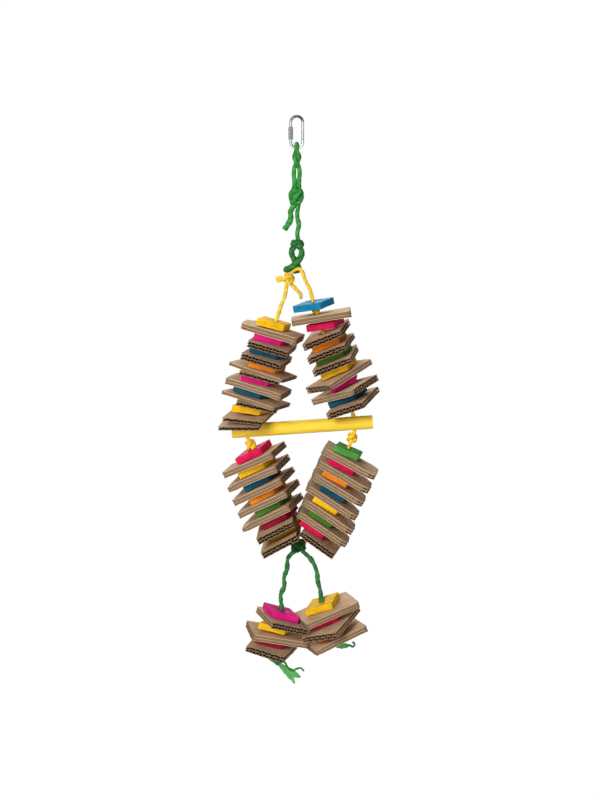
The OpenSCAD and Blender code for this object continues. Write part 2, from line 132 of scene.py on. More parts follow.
class Stack(Enum):
    """Stacks of the toy, each with the dyes of its slices from the top down."""

    UPPER_LEFT = (
        "upper_left",
        (Dye.YELLOW, Dye.PINK, Dye.DEEP_TEAL, Dye.ORANGE, Dye.PINK, Dye.DEEP_TEAL, Dye.YELLOW),
    )
    UPPER_RIGHT = (
        "upper_right",
        (Dye.TEAL, Dye.ROSE, Dye.ORANGE, Dye.GREEN, Dye.YELLOW, Dye.PINK, Dye.DEEP_TEAL),
    )
    LOWER_LEFT = (
        "lower_left",
        (Dye.ROSE, Dye.YELLOW, Dye.DEEP_TEAL, Dye.ORANGE, Dye.GREEN, Dye.CRIMSON, Dye.OCHRE),
    )
    LOWER_RIGHT = (
        "lower_right",
        (Dye.LEAF, Dye.ROSE, Dye.ORANGE, Dye.DEEP_TEAL, Dye.YELLOW, Dye.GREEN, Dye.ROSE),
    )
    BOTTOM_LEFT = ("bottom_left", (Dye.PINK, Dye.YELLOW, Dye.CRIMSON))
    BOTTOM_RIGHT = ("bottom_right", (Dye.YELLOW, Dye.ROSE, Dye.ORANGE))


# Shader graphs


@dataclass(frozen=True)
class Graph:
    """A node tree that is being built."""

    tree: bpy.types.NodeTree

    def add(self, kind: str, **settings: object) -> bpy.types.Node:
        """Adds a node.

        Args:
            kind: Blender's name of the node type, without the ShaderNode prefix.
            settings: Properties of the node.

        Returns:
            The new node.
        """
        prefix = "" if kind.startswith("NodeGroup") else "ShaderNode"
        node = self.tree.nodes.new(prefix + kind)
        for name, value in settings.items():
            setattr(node, name, value)
        return node

    def feed(self, socket: Socket, value: object) -> None:
        """Links an output to a socket, or sets the socket's own value.

        Args:
            socket: Input socket.
            value: Output to link, or the value itself.
        """
        if isinstance(value, Socket):
            self.tree.links.new(value, socket)
        else:
            socket.default_value = value

    def math(self, operation: str, first: object, second: object = 0.0, clamp: bool = False) -> Socket:
        """Adds a Math node.

        Args:
            operation: Blender's name of the operation.
            first: Number or output for the first value.
            second: Number or output for the second value.
            clamp: Whether the result is kept from 0 to 1.

        Returns:
            The node's output.
        """
        node = self.add("Math", operation=operation, use_clamp=clamp)
        self.feed(node.inputs[0], first)
        self.feed(node.inputs[1], second)
        return node.outputs[0]

    def spread(
        self, value: object, low: float, high: float, to_low: float = 0.0, to_high: float = 1.0
    ) -> Socket:
        """Adds a Map Range node that eases from one range to another.

        Args:
            value: Output to map.
            low: Value that maps to to_low.
            high: Value that maps to to_high.
            to_low: Result at low and below.
            to_high: Result at high and above.

        Returns:
            The node's output.
        """
        node = self.add("MapRange", interpolation_type="SMOOTHSTEP")
        self.feed(node.inputs["Value"], value)
        for name, number in zip(("From Min", "From Max", "To Min", "To Max"), (low, high, to_low, to_high)):
            node.inputs[name].default_value = number
        return node.outputs["Result"]

    def mix(self, share: object, first: object, second: object) -> Socket:
        """Adds a colour Mix node.

        Args:
            share: Number or output for the share of the second colour.
            first: First colour, as three numbers or an output.
            second: Second colour, as three numbers or an output.

        Returns:
            The node's colour output.
        """
        node = self.add("Mix", data_type="RGBA", blend_type="MIX", clamp_factor=True)
        self.feed(node.inputs[0], share)
        for socket, colour in ((node.inputs[6], first), (node.inputs[7], second)):
            self.feed(socket, (*colour, 1.0) if isinstance(colour, tuple) else colour)
        return node.outputs[2]

    def stretch(self, vector: object, scale: tuple[float, float, float]) -> Socket:
        """Scales a vector along its three axes.

        Args:
            vector: Output for the vector.
            scale: Factor for each axis.

        Returns:
            The node's output.
        """
        node = self.add("VectorMath", operation="MULTIPLY")
        self.feed(node.inputs[0], vector)
        node.inputs[1].default_value = scale
        return node.outputs[0]

    def noise(self, vector: object, scale: object, detail: float, lot: object = 0.0) -> Socket:
        """Adds a four-dimensional Noise Texture.

        Args:
            vector: Output for the place.
            scale: Number or output for the scale.
            detail: Number of octaves.
            lot: Number or output for the fourth coordinate.

        Returns:
            The node's value output.
        """
        node = self.add("TexNoise", noise_dimensions="4D")
        self.feed(node.inputs["Vector"], vector)
        self.feed(node.inputs["W"], lot)
        self.feed(node.inputs["Scale"], scale)
        node.inputs["Detail"].default_value = detail
        return node.outputs[0]

    def part(self, vector: Socket, axis: str) -> Socket:
        """Adds the output for one part of a vector.

        Args:
            vector: Output for the vector.
            axis: X, Y or Z.

        Returns:
            The node's output.
        """
        node = self.add("SeparateXYZ")
        self.feed(node.inputs[0], vector)
        return node.outputs[axis]

    def attribute(self, name: str, output: str = "Fac") -> Socket:
        """Adds the output for a mesh attribute.

        Args:
            name: Name of the attribute.
            output: Vector for an attribute with three parts.

        Returns:
            The node's output.
        """
        return self.add("Attribute", attribute_name=name).outputs[output]

    def place(self) -> Socket:
        """Adds the output for the place in the piece's own frame."""
        return self.add("TexCoord").outputs["Object"]


@dataclass(frozen=True)
class Effect:
    """A shader node group that several finishes place with their own values."""

    tree: bpy.types.NodeTree

    @staticmethod
    def start(
        name: str, inputs: dict[str, tuple[str, object]], outputs: Sequence[str]
    ) -> tuple["Effect", Graph, dict, dict]:
        """Makes an empty group.

        Args:
            name: Name of the group.
            inputs: Socket type and default value of each input.
            outputs: Names of its outputs, which are all numbers.

        Returns:
            The effect, its graph, the sockets that bring its inputs, and the sockets that take its outputs.
        """
        tree = bpy.data.node_groups.new(name, "ShaderNodeTree")
        for label, (kind, default) in inputs.items():
            socket = tree.interface.new_socket(name=label, in_out="INPUT", socket_type=kind)
            if default is not None:
                socket.default_value = default
        for label in outputs:
            tree.interface.new_socket(name=label, in_out="OUTPUT", socket_type="NodeSocketFloat")
        graph = Graph(tree)
        entry = graph.add("NodeGroupInput")
        leave = graph.add("NodeGroupOutput")
        return (
            Effect(tree),
            graph,
            {label: entry.outputs[label] for label in inputs},
            {label: leave.inputs[label] for label in outputs},
        )

    def use(self, graph: Graph, **values: object) -> dict[str, Socket]:
        """Places the group in a material.

        Args:
            graph: Graph of the material.
            values: Number or output for each input, with _ for a space in its name.

        Returns:
            The group's outputs by name.
        """
        node = graph.add("Group")
        node.node_tree = self.tree
        for label, value in values.items():
            graph.feed(node.inputs[label.replace("_", " ")], value)
        return {socket.name: socket for socket in node.outputs}


def grained_noise(
    graph: Graph, given: dict, stretch: tuple[float, float, float], detail: float
) -> Socket:
    """Adds a noise drawn out along the axes of a group's place.

    Args:
        graph: Graph of the group.
        given: Sockets that bring the group's inputs.
        stretch: Factor for each axis, large where the noise is fine.
        detail: Number of octaves.

    Returns:
        The noise's value output.
    """
    return graph.noise(graph.stretch(given["Place"], stretch), given["Scale"], detail, given["Lot"])


def make_fibre_effect() -> Effect:
    """Builds the effect of paper fibres: a tone, dark flecks and a height.

    Returns:
        The effect.
    """
    effect, graph, given, out = Effect.start(
        "paper fibres",
        {
            "Place": ("NodeSocketVector", None),
            "Lot": ("NodeSocketFloat", 0.0),
            "Scale": ("NodeSocketFloat", 1.0),
        },
        ("Tone", "Flecks", "Height"),
    )
    along = grained_noise(graph, given, (500.0, 3600.0, 3600.0), 3.0)
    across = grained_noise(graph, given, (3200.0, 600.0, 3200.0), 3.0)
    strands = graph.math("MULTIPLY", graph.math("ADD", along, across), 0.5)
    flecks = grained_noise(graph, given, (900.0, 1500.0, 1500.0), 1.0)
    graph.feed(out["Tone"], graph.spread(strands, 0.36, 0.64))
    graph.feed(out["Flecks"], graph.spread(flecks, 0.66, 0.74))
    graph.feed(out["Height"], strands)
    return effect


def make_blotch_effect() -> Effect:
    """Builds the effect of uneven colour: a broad mask and a finer one.

    Returns:
        The effect.
    """
    effect, graph, given, out = Effect.start(
        "uneven colour",
        {
            "Place": ("NodeSocketVector", None),
            "Lot": ("NodeSocketFloat", 0.0),
            "Scale": ("NodeSocketFloat", 100.0),
        },
        ("Broad", "Fine"),
    )
    broad = graph.noise(given["Place"], given["Scale"], 3.0, given["Lot"])
    fine = graph.noise(given["Place"], graph.math("MULTIPLY", given["Scale"], 5.0), 4.0, given["Lot"])
    graph.feed(out["Broad"], graph.spread(broad, 0.35, 0.65))
    graph.feed(out["Fine"], graph.spread(fine, 0.38, 0.62))
    return effect


def make_grain_effect() -> Effect:
    """Builds the effect of wood grain along X: rings, pores and saw marks.

    Returns:
        The effect.
    """
    effect, graph, given, out = Effect.start(
        "wood grain",
        {
            "Place": ("NodeSocketVector", None),
            "Lot": ("NodeSocketFloat", 0.0),
            "Scale": ("NodeSocketFloat", 1.0),
        },
        ("Rings", "Pores", "Saw"),
    )
    rings = grained_noise(graph, given, (22.0, 420.0, 420.0), 2.0)
    pores = grained_noise(graph, given, (160.0, 2600.0, 2600.0), 2.0)
    saw = grained_noise(graph, given, (900.0, 60.0, 60.0), 2.0)
    graph.feed(out["Rings"], graph.spread(rings, 0.38, 0.62))
    graph.feed(out["Pores"], graph.spread(pores, 0.55, 0.70))
    graph.feed(out["Saw"], saw)
    return effect


@dataclass(frozen=True)
class EffectSet:
    """The effects that the finishes share."""

    fibres: Effect
    blotches: Effect
    grain: Effect

    @staticmethod
    def build() -> "EffectSet":
        """Builds every shared effect once.

        Returns:
            The effects.
        """
        return EffectSet(make_fibre_effect(), make_blotch_effect(), make_grain_effect())


# Finishes


def start_material(
    name: str, roughness: float, specular: float, metallic: float = 0.0
) -> tuple[bpy.types.Material, Graph, bpy.types.Node]:
    """Makes a material with one Principled BSDF.

    Args:
        name: Name of the material.
        roughness: Roughness of the surface.
        specular: Strength of its plain reflection.
        metallic: 1 for bare metal.

    Returns:
        The material, its graph and its shader.
    """
    material = bpy.data.materials.new(name)
    material.use_nodes = True
    graph = Graph(material.node_tree)
    shader = next(node for node in material.node_tree.nodes if node.type == "BSDF_PRINCIPLED")
    shader.inputs["Roughness"].default_value = roughness
    shader.inputs["Specular IOR Level"].default_value = specular
    shader.inputs["Metallic"].default_value = metallic
    return material, graph, shader


def raise_surface(
    graph: Graph, shader: bpy.types.Node, height: Socket, depth: float, strength: float
) -> None:
    """Feeds a height to the shader's normal.

    Args:
        graph: Graph of the material.
        shader: Its Principled BSDF.
        height: Output for the height.
        depth: Depth of the relief, in metres.
        strength: Share of the relief that shows.
    """
    bump = graph.add("Bump")
    bump.inputs["Strength"].default_value = strength
    bump.inputs["Distance"].default_value = depth
    graph.feed(bump.inputs["Height"], height)
    graph.feed(shader.inputs["Normal"], bump.outputs["Normal"])


@dataclass(frozen=True)
class SteelFinish:
    """Plated steel wire with fine drawing marks, and a painted dark reflection on the bow that hangs from the
    hook.
    """

    name: str = "plated steel"
    colour: Colour = (0.62, 0.63, 0.64)
    dull_colour: Colour = (0.50, 0.51, 0.52)
    # Painted reflection: the dark colour of the top bow.
    painted_reflection_colour: Colour = (0.10, 0.10, 0.11)
    roughness: float = 0.28
    specular: float = 0.5
    painted_reflection_from: float = -5.0 * MM
    painted_reflection_above: float = -0.5 * MM
    blotch_scale: float = 260.0
    smooth_share: float = 0.7
    rough_share: float = 1.5
    mark_stretch: tuple[float, float, float] = (2500.0, 2500.0, 160.0)
    mark_depth: float = 0.005 * MM
    mark_strength: float = 0.15

    def build(self, effects: EffectSet) -> bpy.types.Material:
        """Builds the material.

        Args:
            effects: The shared effects.

        Returns:
            The material.
        """
        material, graph, shader = start_material(self.name, self.roughness, self.specular, metallic=1.0)
        blotches = effects.blotches.use(graph, Place=graph.place(), Scale=self.blotch_scale)
        # Painted dark reflection: darkens the upper part of the link, from 5 mm below the origin upward, over
        # its top bow.
        painted_reflection = graph.spread(graph.part(graph.place(), "Z"), self.painted_reflection_from, self.painted_reflection_above)
        colour = graph.mix(blotches["Broad"], self.colour, self.dull_colour)
        graph.feed(shader.inputs["Base Color"], graph.mix(painted_reflection, colour, self.painted_reflection_colour))
        smooth, rough = self.roughness * self.smooth_share, self.roughness * self.rough_share
        graph.feed(shader.inputs["Roughness"], graph.spread(blotches["Fine"], 0.0, 1.0, smooth, rough))
        marks = graph.noise(graph.stretch(graph.place(), self.mark_stretch), 1.0, 3.0)
        raise_surface(graph, shader, marks, self.mark_depth, self.mark_strength)
        return material


@dataclass(frozen=True)
class KraftFinish:
    """Brown kraft paper over corrugated sheet, with its faint washboard lines."""

    name: str = "kraft paper"
    colour: Colour = (0.64, 0.43, 0.27)
    dark_colour: Colour = (0.44, 0.285, 0.165)
    rim_colour: Colour = (0.72, 0.52, 0.34)
    end_colour: Colour = (0.16, 0.095, 0.05)
    fleck_colour: Colour = (0.14, 0.08, 0.04)
    roughness: float = 0.86
    specular: float = 0.25
    blotch_scale: float = 70.0
    blotch_share: float = 0.55
    fibre_share: float = 0.35
    ridge_share: float = 0.07
    fleck_share: float = 0.5
    rim_share: float = 0.8
    flute_pitch: float = 6.6 * MM
    ridge_depth: float = 0.12 * MM
    ridge_strength: float = 0.8

    def build(self, effects: EffectSet) -> bpy.types.Material:
        """Builds the material.

        Args:
            effects: The shared effects.

        Returns:
            The material.
        """
        material, graph, shader = start_material(self.name, self.roughness, self.specular)
        place = graph.place()
        lot = graph.attribute("lot")
        fibres = effects.fibres.use(graph, Place=place, Lot=lot)
        blotches = effects.blotches.use(graph, Place=place, Lot=lot, Scale=self.blotch_scale)
        wave = graph.math("MULTIPLY", graph.part(place, "Y"), 2 * math.pi / self.flute_pitch)
        wave = graph.math("SINE", wave)
        tone = graph.math("MULTIPLY", blotches["Broad"], self.blotch_share)
        tone = graph.math("ADD", tone, graph.math("MULTIPLY", fibres["Tone"], self.fibre_share))
        tone = graph.math("ADD", tone, graph.math("MULTIPLY", wave, self.ridge_share), clamp=True)
        colour = graph.mix(tone, self.colour, self.dark_colour)
        flecks = graph.math("MULTIPLY", fibres["Flecks"], self.fleck_share)
        colour = graph.mix(flecks, colour, self.fleck_colour)
        rim = graph.attribute("rim")
        colour = graph.mix(graph.math("MULTIPLY", rim, self.rim_share), colour, self.rim_colour)
        colour = graph.mix(graph.math("MULTIPLY", rim, -self.rim_share), colour, self.end_colour)
        graph.feed(shader.inputs["Base Color"], colour)
        half_wave = graph.math("MULTIPLY", wave, 0.5)
        height = graph.math("ADD", half_wave, graph.math("MULTIPLY", fibres["Height"], 0.5))
        raise_surface(graph, shader, height, self.ridge_depth, self.ridge_strength)
        return material


@dataclass(frozen=True)
class FlutingFinish:
    """Inside paper of the board, with painted shade that turns it near black a little way in from the cut
    end.
    """

    name: str = "fluting paper"
    colour: Colour = (0.34, 0.21, 0.115)
    fibre_colour: Colour = (0.16, 0.095, 0.05)
    # Painted shade deep inside the flutes.
    painted_shade_colour: Colour = (0.012, 0.006, 0.003)
    roughness: float = 0.9
    specular: float = 0.2
    fibre_share: float = 0.3
    shade_fade_from: float = 0.1 * MM
    shade_fade_to: float = 0.8 * MM
    fibre_depth: float = 0.1 * MM
    fibre_strength: float = 0.6

    def build(self, effects: EffectSet) -> bpy.types.Material:
        """Builds the material.

        Args:
            effects: The shared effects.

        Returns:
            The material.
        """
        material, graph, shader = start_material(self.name, self.roughness, self.specular)
        lot = graph.attribute("lot")
        fibres = effects.fibres.use(graph, Place=graph.place(), Lot=lot)
        depth = graph.attribute("depth")
        tone = graph.math("MULTIPLY", fibres["Tone"], self.fibre_share)
        colour = graph.mix(tone, self.colour, self.fibre_colour)
        # Painted shade: the paper darkens to near black from 0.1 to 0.8 mm in from the cut.
        colour = graph.mix(graph.spread(depth, self.shade_fade_from, self.shade_fade_to), colour, self.painted_shade_colour)
        graph.feed(shader.inputs["Base Color"], colour)
        raise_surface(graph, shader, fibres["Height"], self.fibre_depth, self.fibre_strength)
        return material


@dataclass(frozen=True)
class DyedWoodFinish:
    """Sawn wood under a water dye that shows the grain, thinner along the edges."""

    name: str
    colour: Colour
    ring_scale: float = 1.0
    roughness: float = 0.55
    ring_share: float = 0.62
    blotch_share: float = 0.45
    specular: float = 0.14
    blotch_scale: float = 130.0
    smoother: float = 0.07
    rougher: float = 0.12
    deep_share: float = 0.56
    pale_share: float = 1.22
    pale_lift: float = 0.004
    rim_share: float = 0.55
    saw_share: float = 0.6
    grain_depth: float = 0.12 * MM
    grain_strength: float = 0.7

    def build(self, effects: EffectSet) -> bpy.types.Material:
        """Builds the material.

        Args:
            effects: The shared effects.

        Returns:
            The material.
        """
        material, graph, shader = start_material(self.name, self.roughness, self.specular)
        place = graph.place()
        lot = graph.attribute("lot")
        grain = effects.grain.use(graph, Place=place, Lot=lot, Scale=self.ring_scale)
        blotches = effects.blotches.use(graph, Place=place, Lot=lot, Scale=self.blotch_scale)
        deep = tuple(channel * self.deep_share for channel in self.colour)
        pale = tuple(channel * self.pale_share + self.pale_lift for channel in self.colour)
        colour = graph.mix(graph.math("MULTIPLY", grain["Rings"], self.ring_share), self.colour, deep)
        colour = graph.mix(graph.math("MULTIPLY", blotches["Broad"], self.blotch_share), colour, pale)
        colour = graph.mix(graph.math("MULTIPLY", grain["Pores"], self.ring_share), colour, deep)
        rim = graph.math("MULTIPLY", graph.attribute("rim"), blotches["Fine"])
        colour = graph.mix(graph.math("MULTIPLY", rim, self.rim_share), colour, pale)
        graph.feed(shader.inputs["Base Color"], colour)
        smooth, rough = self.roughness - self.smoother, self.roughness + self.rougher
        graph.feed(shader.inputs["Roughness"], graph.spread(blotches["Fine"], 0.0, 1.0, smooth, rough))
        height = graph.math("SUBTRACT", graph.math("MULTIPLY", grain["Saw"], self.saw_share), grain["Pores"])
        raise_surface(graph, shader, height, self.grain_depth, self.grain_strength)
        return material


@dataclass(frozen=True)
class PaperRopeFinish:
    """Twisted crepe paper, with painted shade in the grooves between the plies and in the low folds of its
    wrinkles, so a ply that stands up shows paler.
    """

    name: str
    colour: Colour
    groove_shade_share: float
    roughness: float = 0.78
    specular: float = 0.3
    pale_share: float = 1.35
    pale_lift: float = 0.015
    blotch_share: float = 0.45
    blotch_scale: float = 160.0
    wrinkle_stretch: tuple[float, float, float] = (260.0, 1900.0, 1900.0)
    crease_shade_from: float = 0.36
    crease_shade_to: float = 0.62
    groove_shade_mask: float = 0.75
    groove_shade_to: float = 0.55
    wrinkle_depth: float = 0.35 * MM
    wrinkle_strength: float = 0.9

    def build(self, effects: EffectSet) -> bpy.types.Material:
        """Builds the material.

        Args:
            effects: The shared effects.

        Returns:
            The material.
        """
        material, graph, shader = start_material(self.name, self.roughness, self.specular)
        lay = graph.attribute("lay", "Vector")
        lot = graph.attribute("lot")
        crest = graph.attribute("crest")
        wrinkle = graph.noise(graph.stretch(lay, self.wrinkle_stretch), 1.0, 3.0, lot)
        crease = graph.spread(wrinkle, self.crease_shade_from, self.crease_shade_to)
        blotches = effects.blotches.use(graph, Place=lay, Lot=lot, Scale=self.blotch_scale)
        # deep is the colour of the painted shade.
        deep = tuple(channel * self.groove_shade_share for channel in self.colour)
        pale = tuple(channel * self.pale_share + self.pale_lift for channel in self.colour)
        # Painted shade in the low folds of the wrinkles that also raise the bump.
        colour = graph.mix(crease, deep, self.colour)
        colour = graph.mix(graph.math("MULTIPLY", blotches["Broad"], self.blotch_share), colour, pale)
        # Painted shade in the grooves between the plies, where crest is low.
        colour = graph.mix(graph.spread(crest, 0.0, self.groove_shade_to, self.groove_shade_mask, 0.0), colour, deep)
        graph.feed(shader.inputs["Base Color"], colour)
        raise_surface(graph, shader, wrinkle, self.wrinkle_depth, self.wrinkle_strength)
        return material


@dataclass(frozen=True)
class FloorFinish:
    """Plain white studio floor, lit evenly enough to show no horizon."""

    name: str = "studio floor"
    colour: Colour = (0.62, 0.62, 0.62)
    roughness: float = 0.9
    glow: float = 1.0
    mirror_share: float = 0.5

    def build(self) -> bpy.types.Material:
        """Builds the material.

        Returns:
            The material.
        """
        material, graph, shader = start_material(self.name, self.roughness, specular=0.0)
        graph.feed(shader.inputs["Base Color"], (*self.colour, 1.0))
        shine = graph.add("Emission")
        shine.inputs["Strength"].default_value = self.glow
        path = graph.add("LightPath")
        mirrored = graph.math("MULTIPLY", path.outputs["Is Glossy Ray"], self.mirror_share)
        blend = graph.add("MixShader")
        graph.feed(blend.inputs[0], graph.math("MAXIMUM", path.outputs["Is Camera Ray"], mirrored))
        graph.feed(blend.inputs[1], shader.outputs[0])
        graph.feed(blend.inputs[2], shine.outputs[0])
        output = next(node for node in material.node_tree.nodes if node.type == "OUTPUT_MATERIAL")
        graph.feed(output.inputs["Surface"], blend.outputs[0])
        return material


@dataclass(frozen=True)
class FinishSet:
    """The materials of the toy."""

    steel: bpy.types.Material
    kraft: bpy.types.Material
    fluting: bpy.types.Material
    dowel: bpy.types.Material
    dyes: dict[Dye, bpy.types.Material]
    ropes: dict[RopeColour, bpy.types.Material]

    @staticmethod
    def build() -> "FinishSet":
        """Builds every material of the toy once.

        Returns:
            The materials.
        """
        effects = EffectSet.build()
        dowel = DyedWoodFinish(
            name="dyed dowel",
            colour=(0.98, 0.68, 0.055),
            ring_scale=1.6,
            roughness=0.42,
            ring_share=0.2,
            blotch_share=0.15,
        )
        return FinishSet(
            steel=SteelFinish().build(effects),
            kraft=KraftFinish().build(effects),
            fluting=FlutingFinish().build(effects),
            dowel=dowel.build(effects),
            dyes={dye: DyedWoodFinish(f"{dye.name.lower()} wood", dye.value).build(effects) for dye in Dye},
            ropes={rope: PaperRopeFinish(*rope.value).build(effects) for rope in RopeColour},
        )


# Meshes


@dataclass(frozen=True)
class Shape:
    """A mesh in the making: points, quads, a finish number per quad and values per point."""

    points: Points
    faces: np.ndarray
    finish: np.ndarray
    flat: np.ndarray
    values: dict[str, np.ndarray]

    @staticmethod
    def plain(points: Points, faces: np.ndarray, values: dict[str, np.ndarray]) -> "Shape":
        """Makes a smooth shape with finish number 0 all over.

        Args:
            points: Its points.
            faces: Its quads.
            values: Its values per point.

        Returns:
            The shape.
        """
        return Shape(points, faces, np.zeros(len(faces), int), np.zeros(len(faces), bool), values)

    @staticmethod
    def join(shapes: Sequence["Shape"]) -> "Shape":
        """Joins several shapes into one.

        Args:
            shapes: The shapes, with the same values per point.

        Returns:
            The joined shape.
        """
        starts = np.cumsum([0] + [len(shape.points) for shape in shapes[:-1]])
        return Shape(
            points=np.concatenate([shape.points for shape in shapes]),
            faces=np.concatenate([shape.faces + start for shape, start in zip(shapes, starts)]),
            finish=np.concatenate([shape.finish for shape in shapes]),
            flat=np.concatenate([shape.flat for shape in shapes]),
            values={
                name: np.concatenate([shape.values[name] for shape in shapes]) for name in shapes[0].values
            },
        )

    def make(self, name: str, finishes: Sequence[bpy.types.Material], lot: float) -> bpy.types.Object:
        """Makes the Blender object.

        Args:
            name: Name of the piece.
            finishes: Materials that the finish numbers stand for.
            lot: Number that sets the piece's pattern apart from its neighbours'.

        Returns:
            The new object, at the origin.
        """
        mesh = bpy.data.meshes.new(name)
        mesh.from_pydata(self.points.tolist(), [], self.faces.tolist())
        for material in finishes:
            mesh.materials.append(material)
        mesh.polygons.foreach_set("material_index", self.finish.astype(np.int32))
        mesh.polygons.foreach_set("use_smooth", ~self.flat)
        for label, values in {**self.values, "lot": np.full(len(self.points), lot)}.items():
            kind, field = ("FLOAT_VECTOR", "vector") if values.ndim == 2 else ("FLOAT", "value")
            attribute = mesh.attributes.new(label, kind, "POINT")
            attribute.data.foreach_set(field, values.astype(np.float32).ravel())
        mesh.update()
        piece = bpy.data.objects.new(name, mesh)
        bpy.context.scene.collection.objects.link(piece)
        return piece


def stand_in(piece: bpy.types.Object, node: str) -> bpy.types.Object:
    """Lets a dressed piece take the place of its CAD node on the toy.

    Args:
        piece: The dressed piece.
        node: Name of the CAD node.

    Returns:
        The piece.
    """
    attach(piece, TOY_BODY)
    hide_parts(node)
    return piece


def give_finish(piece: bpy.types.Object, finish: bpy.types.Material) -> None:
    """Gives a CAD piece one material in place of its own."""
    piece.data.materials.clear()
    piece.data.materials.append(finish)


def ease_edges(piece: bpy.types.Object, width: float, segments: int, angle: float) -> None:
    """Rounds the sharp edges of a CAD piece.

    Args:
        piece: The piece.
        width: Width of the rounding.
        segments: Number of steps across it.
        angle: Smallest angle of an edge that is rounded, in degrees.
    """
    bevel = piece.modifiers.new("eased edges", "BEVEL")
    bevel.width = width
    bevel.segments = segments
    bevel.limit_method = "ANGLE"
    bevel.angle_limit = math.radians(angle)


def middle_of(node: str) -> Points:
    """Returns the middle of a CAD node's box."""
    low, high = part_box(node)
    return np.array((low + high) / 2)


def unit(vector: Points) -> Points:
    """Scales vectors to length 1."""
    return vector / np.maximum(np.linalg.norm(vector, axis=-1, keepdims=True), 1e-12)


def grid_faces(rows: int, columns: int, rows_close: bool, columns_close: bool) -> np.ndarray:
    """Lists the quads of a grid of points.

    Args:
        rows: Number of rows.
        columns: Number of points in a row.
        rows_close: Whether the last row joins the first.
        columns_close: Whether the last point of a row joins its first.

    Returns:
        Array of four point numbers per quad, row by row.
    """
    row = np.arange(rows if rows_close else rows - 1)[:, None]
    column = np.arange(columns if columns_close else columns - 1)[None, :]
    after = (row + 1) % rows
    beside = (column + 1) % columns
    corners = (
        row * columns + column,
        after * columns + column,
        after * columns + beside,
        row * columns + beside,
    )
    return np.stack([np.broadcast_to(corner, (row.size, column.size)).ravel() for corner in corners], axis=1)


def rounded_outline(corners: Sequence[tuple[float, float]], radii: Sequence[float], spacing: float) -> Points:
    """Samples an anticlockwise outline with rounded corners.

    Args:
        corners: Corners of the outline.
        radii: Radius of each corner.
        spacing: Longest distance between samples on the straight sides.

    Returns:
        Points round the outline.
    """
    outline: list[Points] = []
    count = len(corners)
    for index in range(count):
        corner, before, after = (np.array(corners[(index + step) % count]) for step in (0, -1, 1))
        back, ahead = unit(before - corner), unit(after - corner)
        half = half_angle(corners, index)
        reach = radii[index] / math.tan(half)
        centre = corner + unit(back + ahead) * radii[index] / math.sin(half)
        steps = 3 if radii[index] < SHARP_CORNER else 9
        start, end = corner + back * reach - centre, corner + ahead * reach - centre
        for share in np.linspace(0.0, 1.0, steps):
            outline.append(centre + unit(start * (1 - share) + end * share) * radii[index])
        beyond = (index + 1) % count
        leave = corner + ahead * reach
        arrive = np.array(corners[beyond]) - ahead * radii[beyond] / math.tan(half_angle(corners, beyond))
        pieces = max(1, int(np.linalg.norm(arrive - leave) / spacing))
        outline += [leave + (arrive - leave) * step / pieces for step in range(1, pieces)]
    return np.array(outline)


def half_angle(corners: Sequence[tuple[float, float]], index: int) -> float:
    """Finds half of the angle inside a corner of an outline.

    Args:
        corners: Corners of the outline.
        index: Number of the corner.

    Returns:
        The half angle, in radians.
    """
    count = len(corners)
    corner, before, after = (np.array(corners[(index + step) % count]) for step in (0, -1, 1))
    return math.acos(float(np.clip(unit(before - corner) @ unit(after - corner), -1.0, 1.0))) / 2


@dataclass(frozen=True)
class Ring:
    """One line round a flat piece: share of the way out from the hole, inset, height and rim mark."""

    share: float
    inset: float
    height: float
    rim: float = 0.0


def loft_slab(outline: Points, hole: Points, hole_radius: float, rings: Sequence[Ring]) -> Shape:
    """Lofts a flat piece with a round hole.

    Args:
        outline: Anticlockwise outline.
        hole: Centre of the hole.
        hole_radius: Radius of the hole.
        rings: Lines from the hole out over the top, and back under the bottom.

    Returns:
        The closed shape, with finish number 0 all over.
    """
    outward = unit(outline - hole)
    inner = hole + outward * hole_radius
    rows = [
        np.column_stack([
            inner + ring.share * (outline - inner) - ring.inset * outward,
            np.full(len(outline), ring.height),
        ])
        for ring in rings
    ]
    faces = grid_faces(len(rings), len(outline), True, True)
    rims = np.repeat([ring.rim for ring in rings], len(outline))
    return Shape.plain(np.concatenate(rows), faces, {"rim": rims, "depth": np.zeros(len(rims))})


# Pieces read from the frame


@dataclass(frozen=True)
class Solid:
    """One closed solid of a CAD node."""

    points: Points
    normals: Points
    areas: np.ndarray

    @staticmethod
    def read_all(node: bpy.types.Object) -> list["Solid"]:
        """Splits a CAD node into its solids.

        Args:
            node: The CAD node.

        Returns:
            The solids, from the top down.
        """
        mesh = node.data
        mesh.calc_loop_triangles()
        points = np.array([vertex.co for vertex in mesh.vertices], float)
        triangles = np.array([triangle.vertices for triangle in mesh.loop_triangles])
        points, welded = np.unique(np.round(points, 6), axis=0, return_inverse=True)
        triangles = welded.reshape(-1)[triangles]
        label = np.arange(len(points))
        settled = False
        while not settled:
            before = label.copy()
            lowest = label[triangles].min(axis=1)
            for corner in range(3):
                np.minimum.at(label, triangles[:, corner], lowest)
            settled = bool((label == before).all())
        solids = []
        for group in np.unique(label[triangles]):
            chosen = triangles[label[triangles[:, 0]] == group]
            corners = points[chosen]
            cross = np.cross(corners[:, 1] - corners[:, 0], corners[:, 2] - corners[:, 0])
            solids.append(Solid(points[np.unique(chosen)], unit(cross), np.linalg.norm(cross, axis=1) / 2))
        return sorted(solids, key=lambda solid: -solid.points[:, 2].mean())

    def main_direction(self, across: Points | None = None) -> Points:
        """Finds the direction that most of the surface faces, either way.

        Args:
            across: Direction that the answer must be square to.

        Returns:
            Unit vector.
        """
        normals, areas = self.normals, self.areas
        if across is not None:
            square = np.abs(normals @ across) < NEARLY_SQUARE
            normals, areas = normals[square], areas[square]
        likely = np.argsort(areas)[-LIKELY_FACES:]
        totals = [areas[np.abs(normals @ normals[index]) > NEARLY_ALONG].sum() for index in likely]
        best = normals[likely[int(np.argmax(totals))]]
        agree = np.abs(normals @ best) > NEARLY_ALONG
        signs = np.sign(normals[agree] @ best)
        mean = unit((normals[agree] * (areas[agree] * signs)[:, None]).sum(axis=0))
        return mean if across is None else unit(mean - across * (mean @ across))


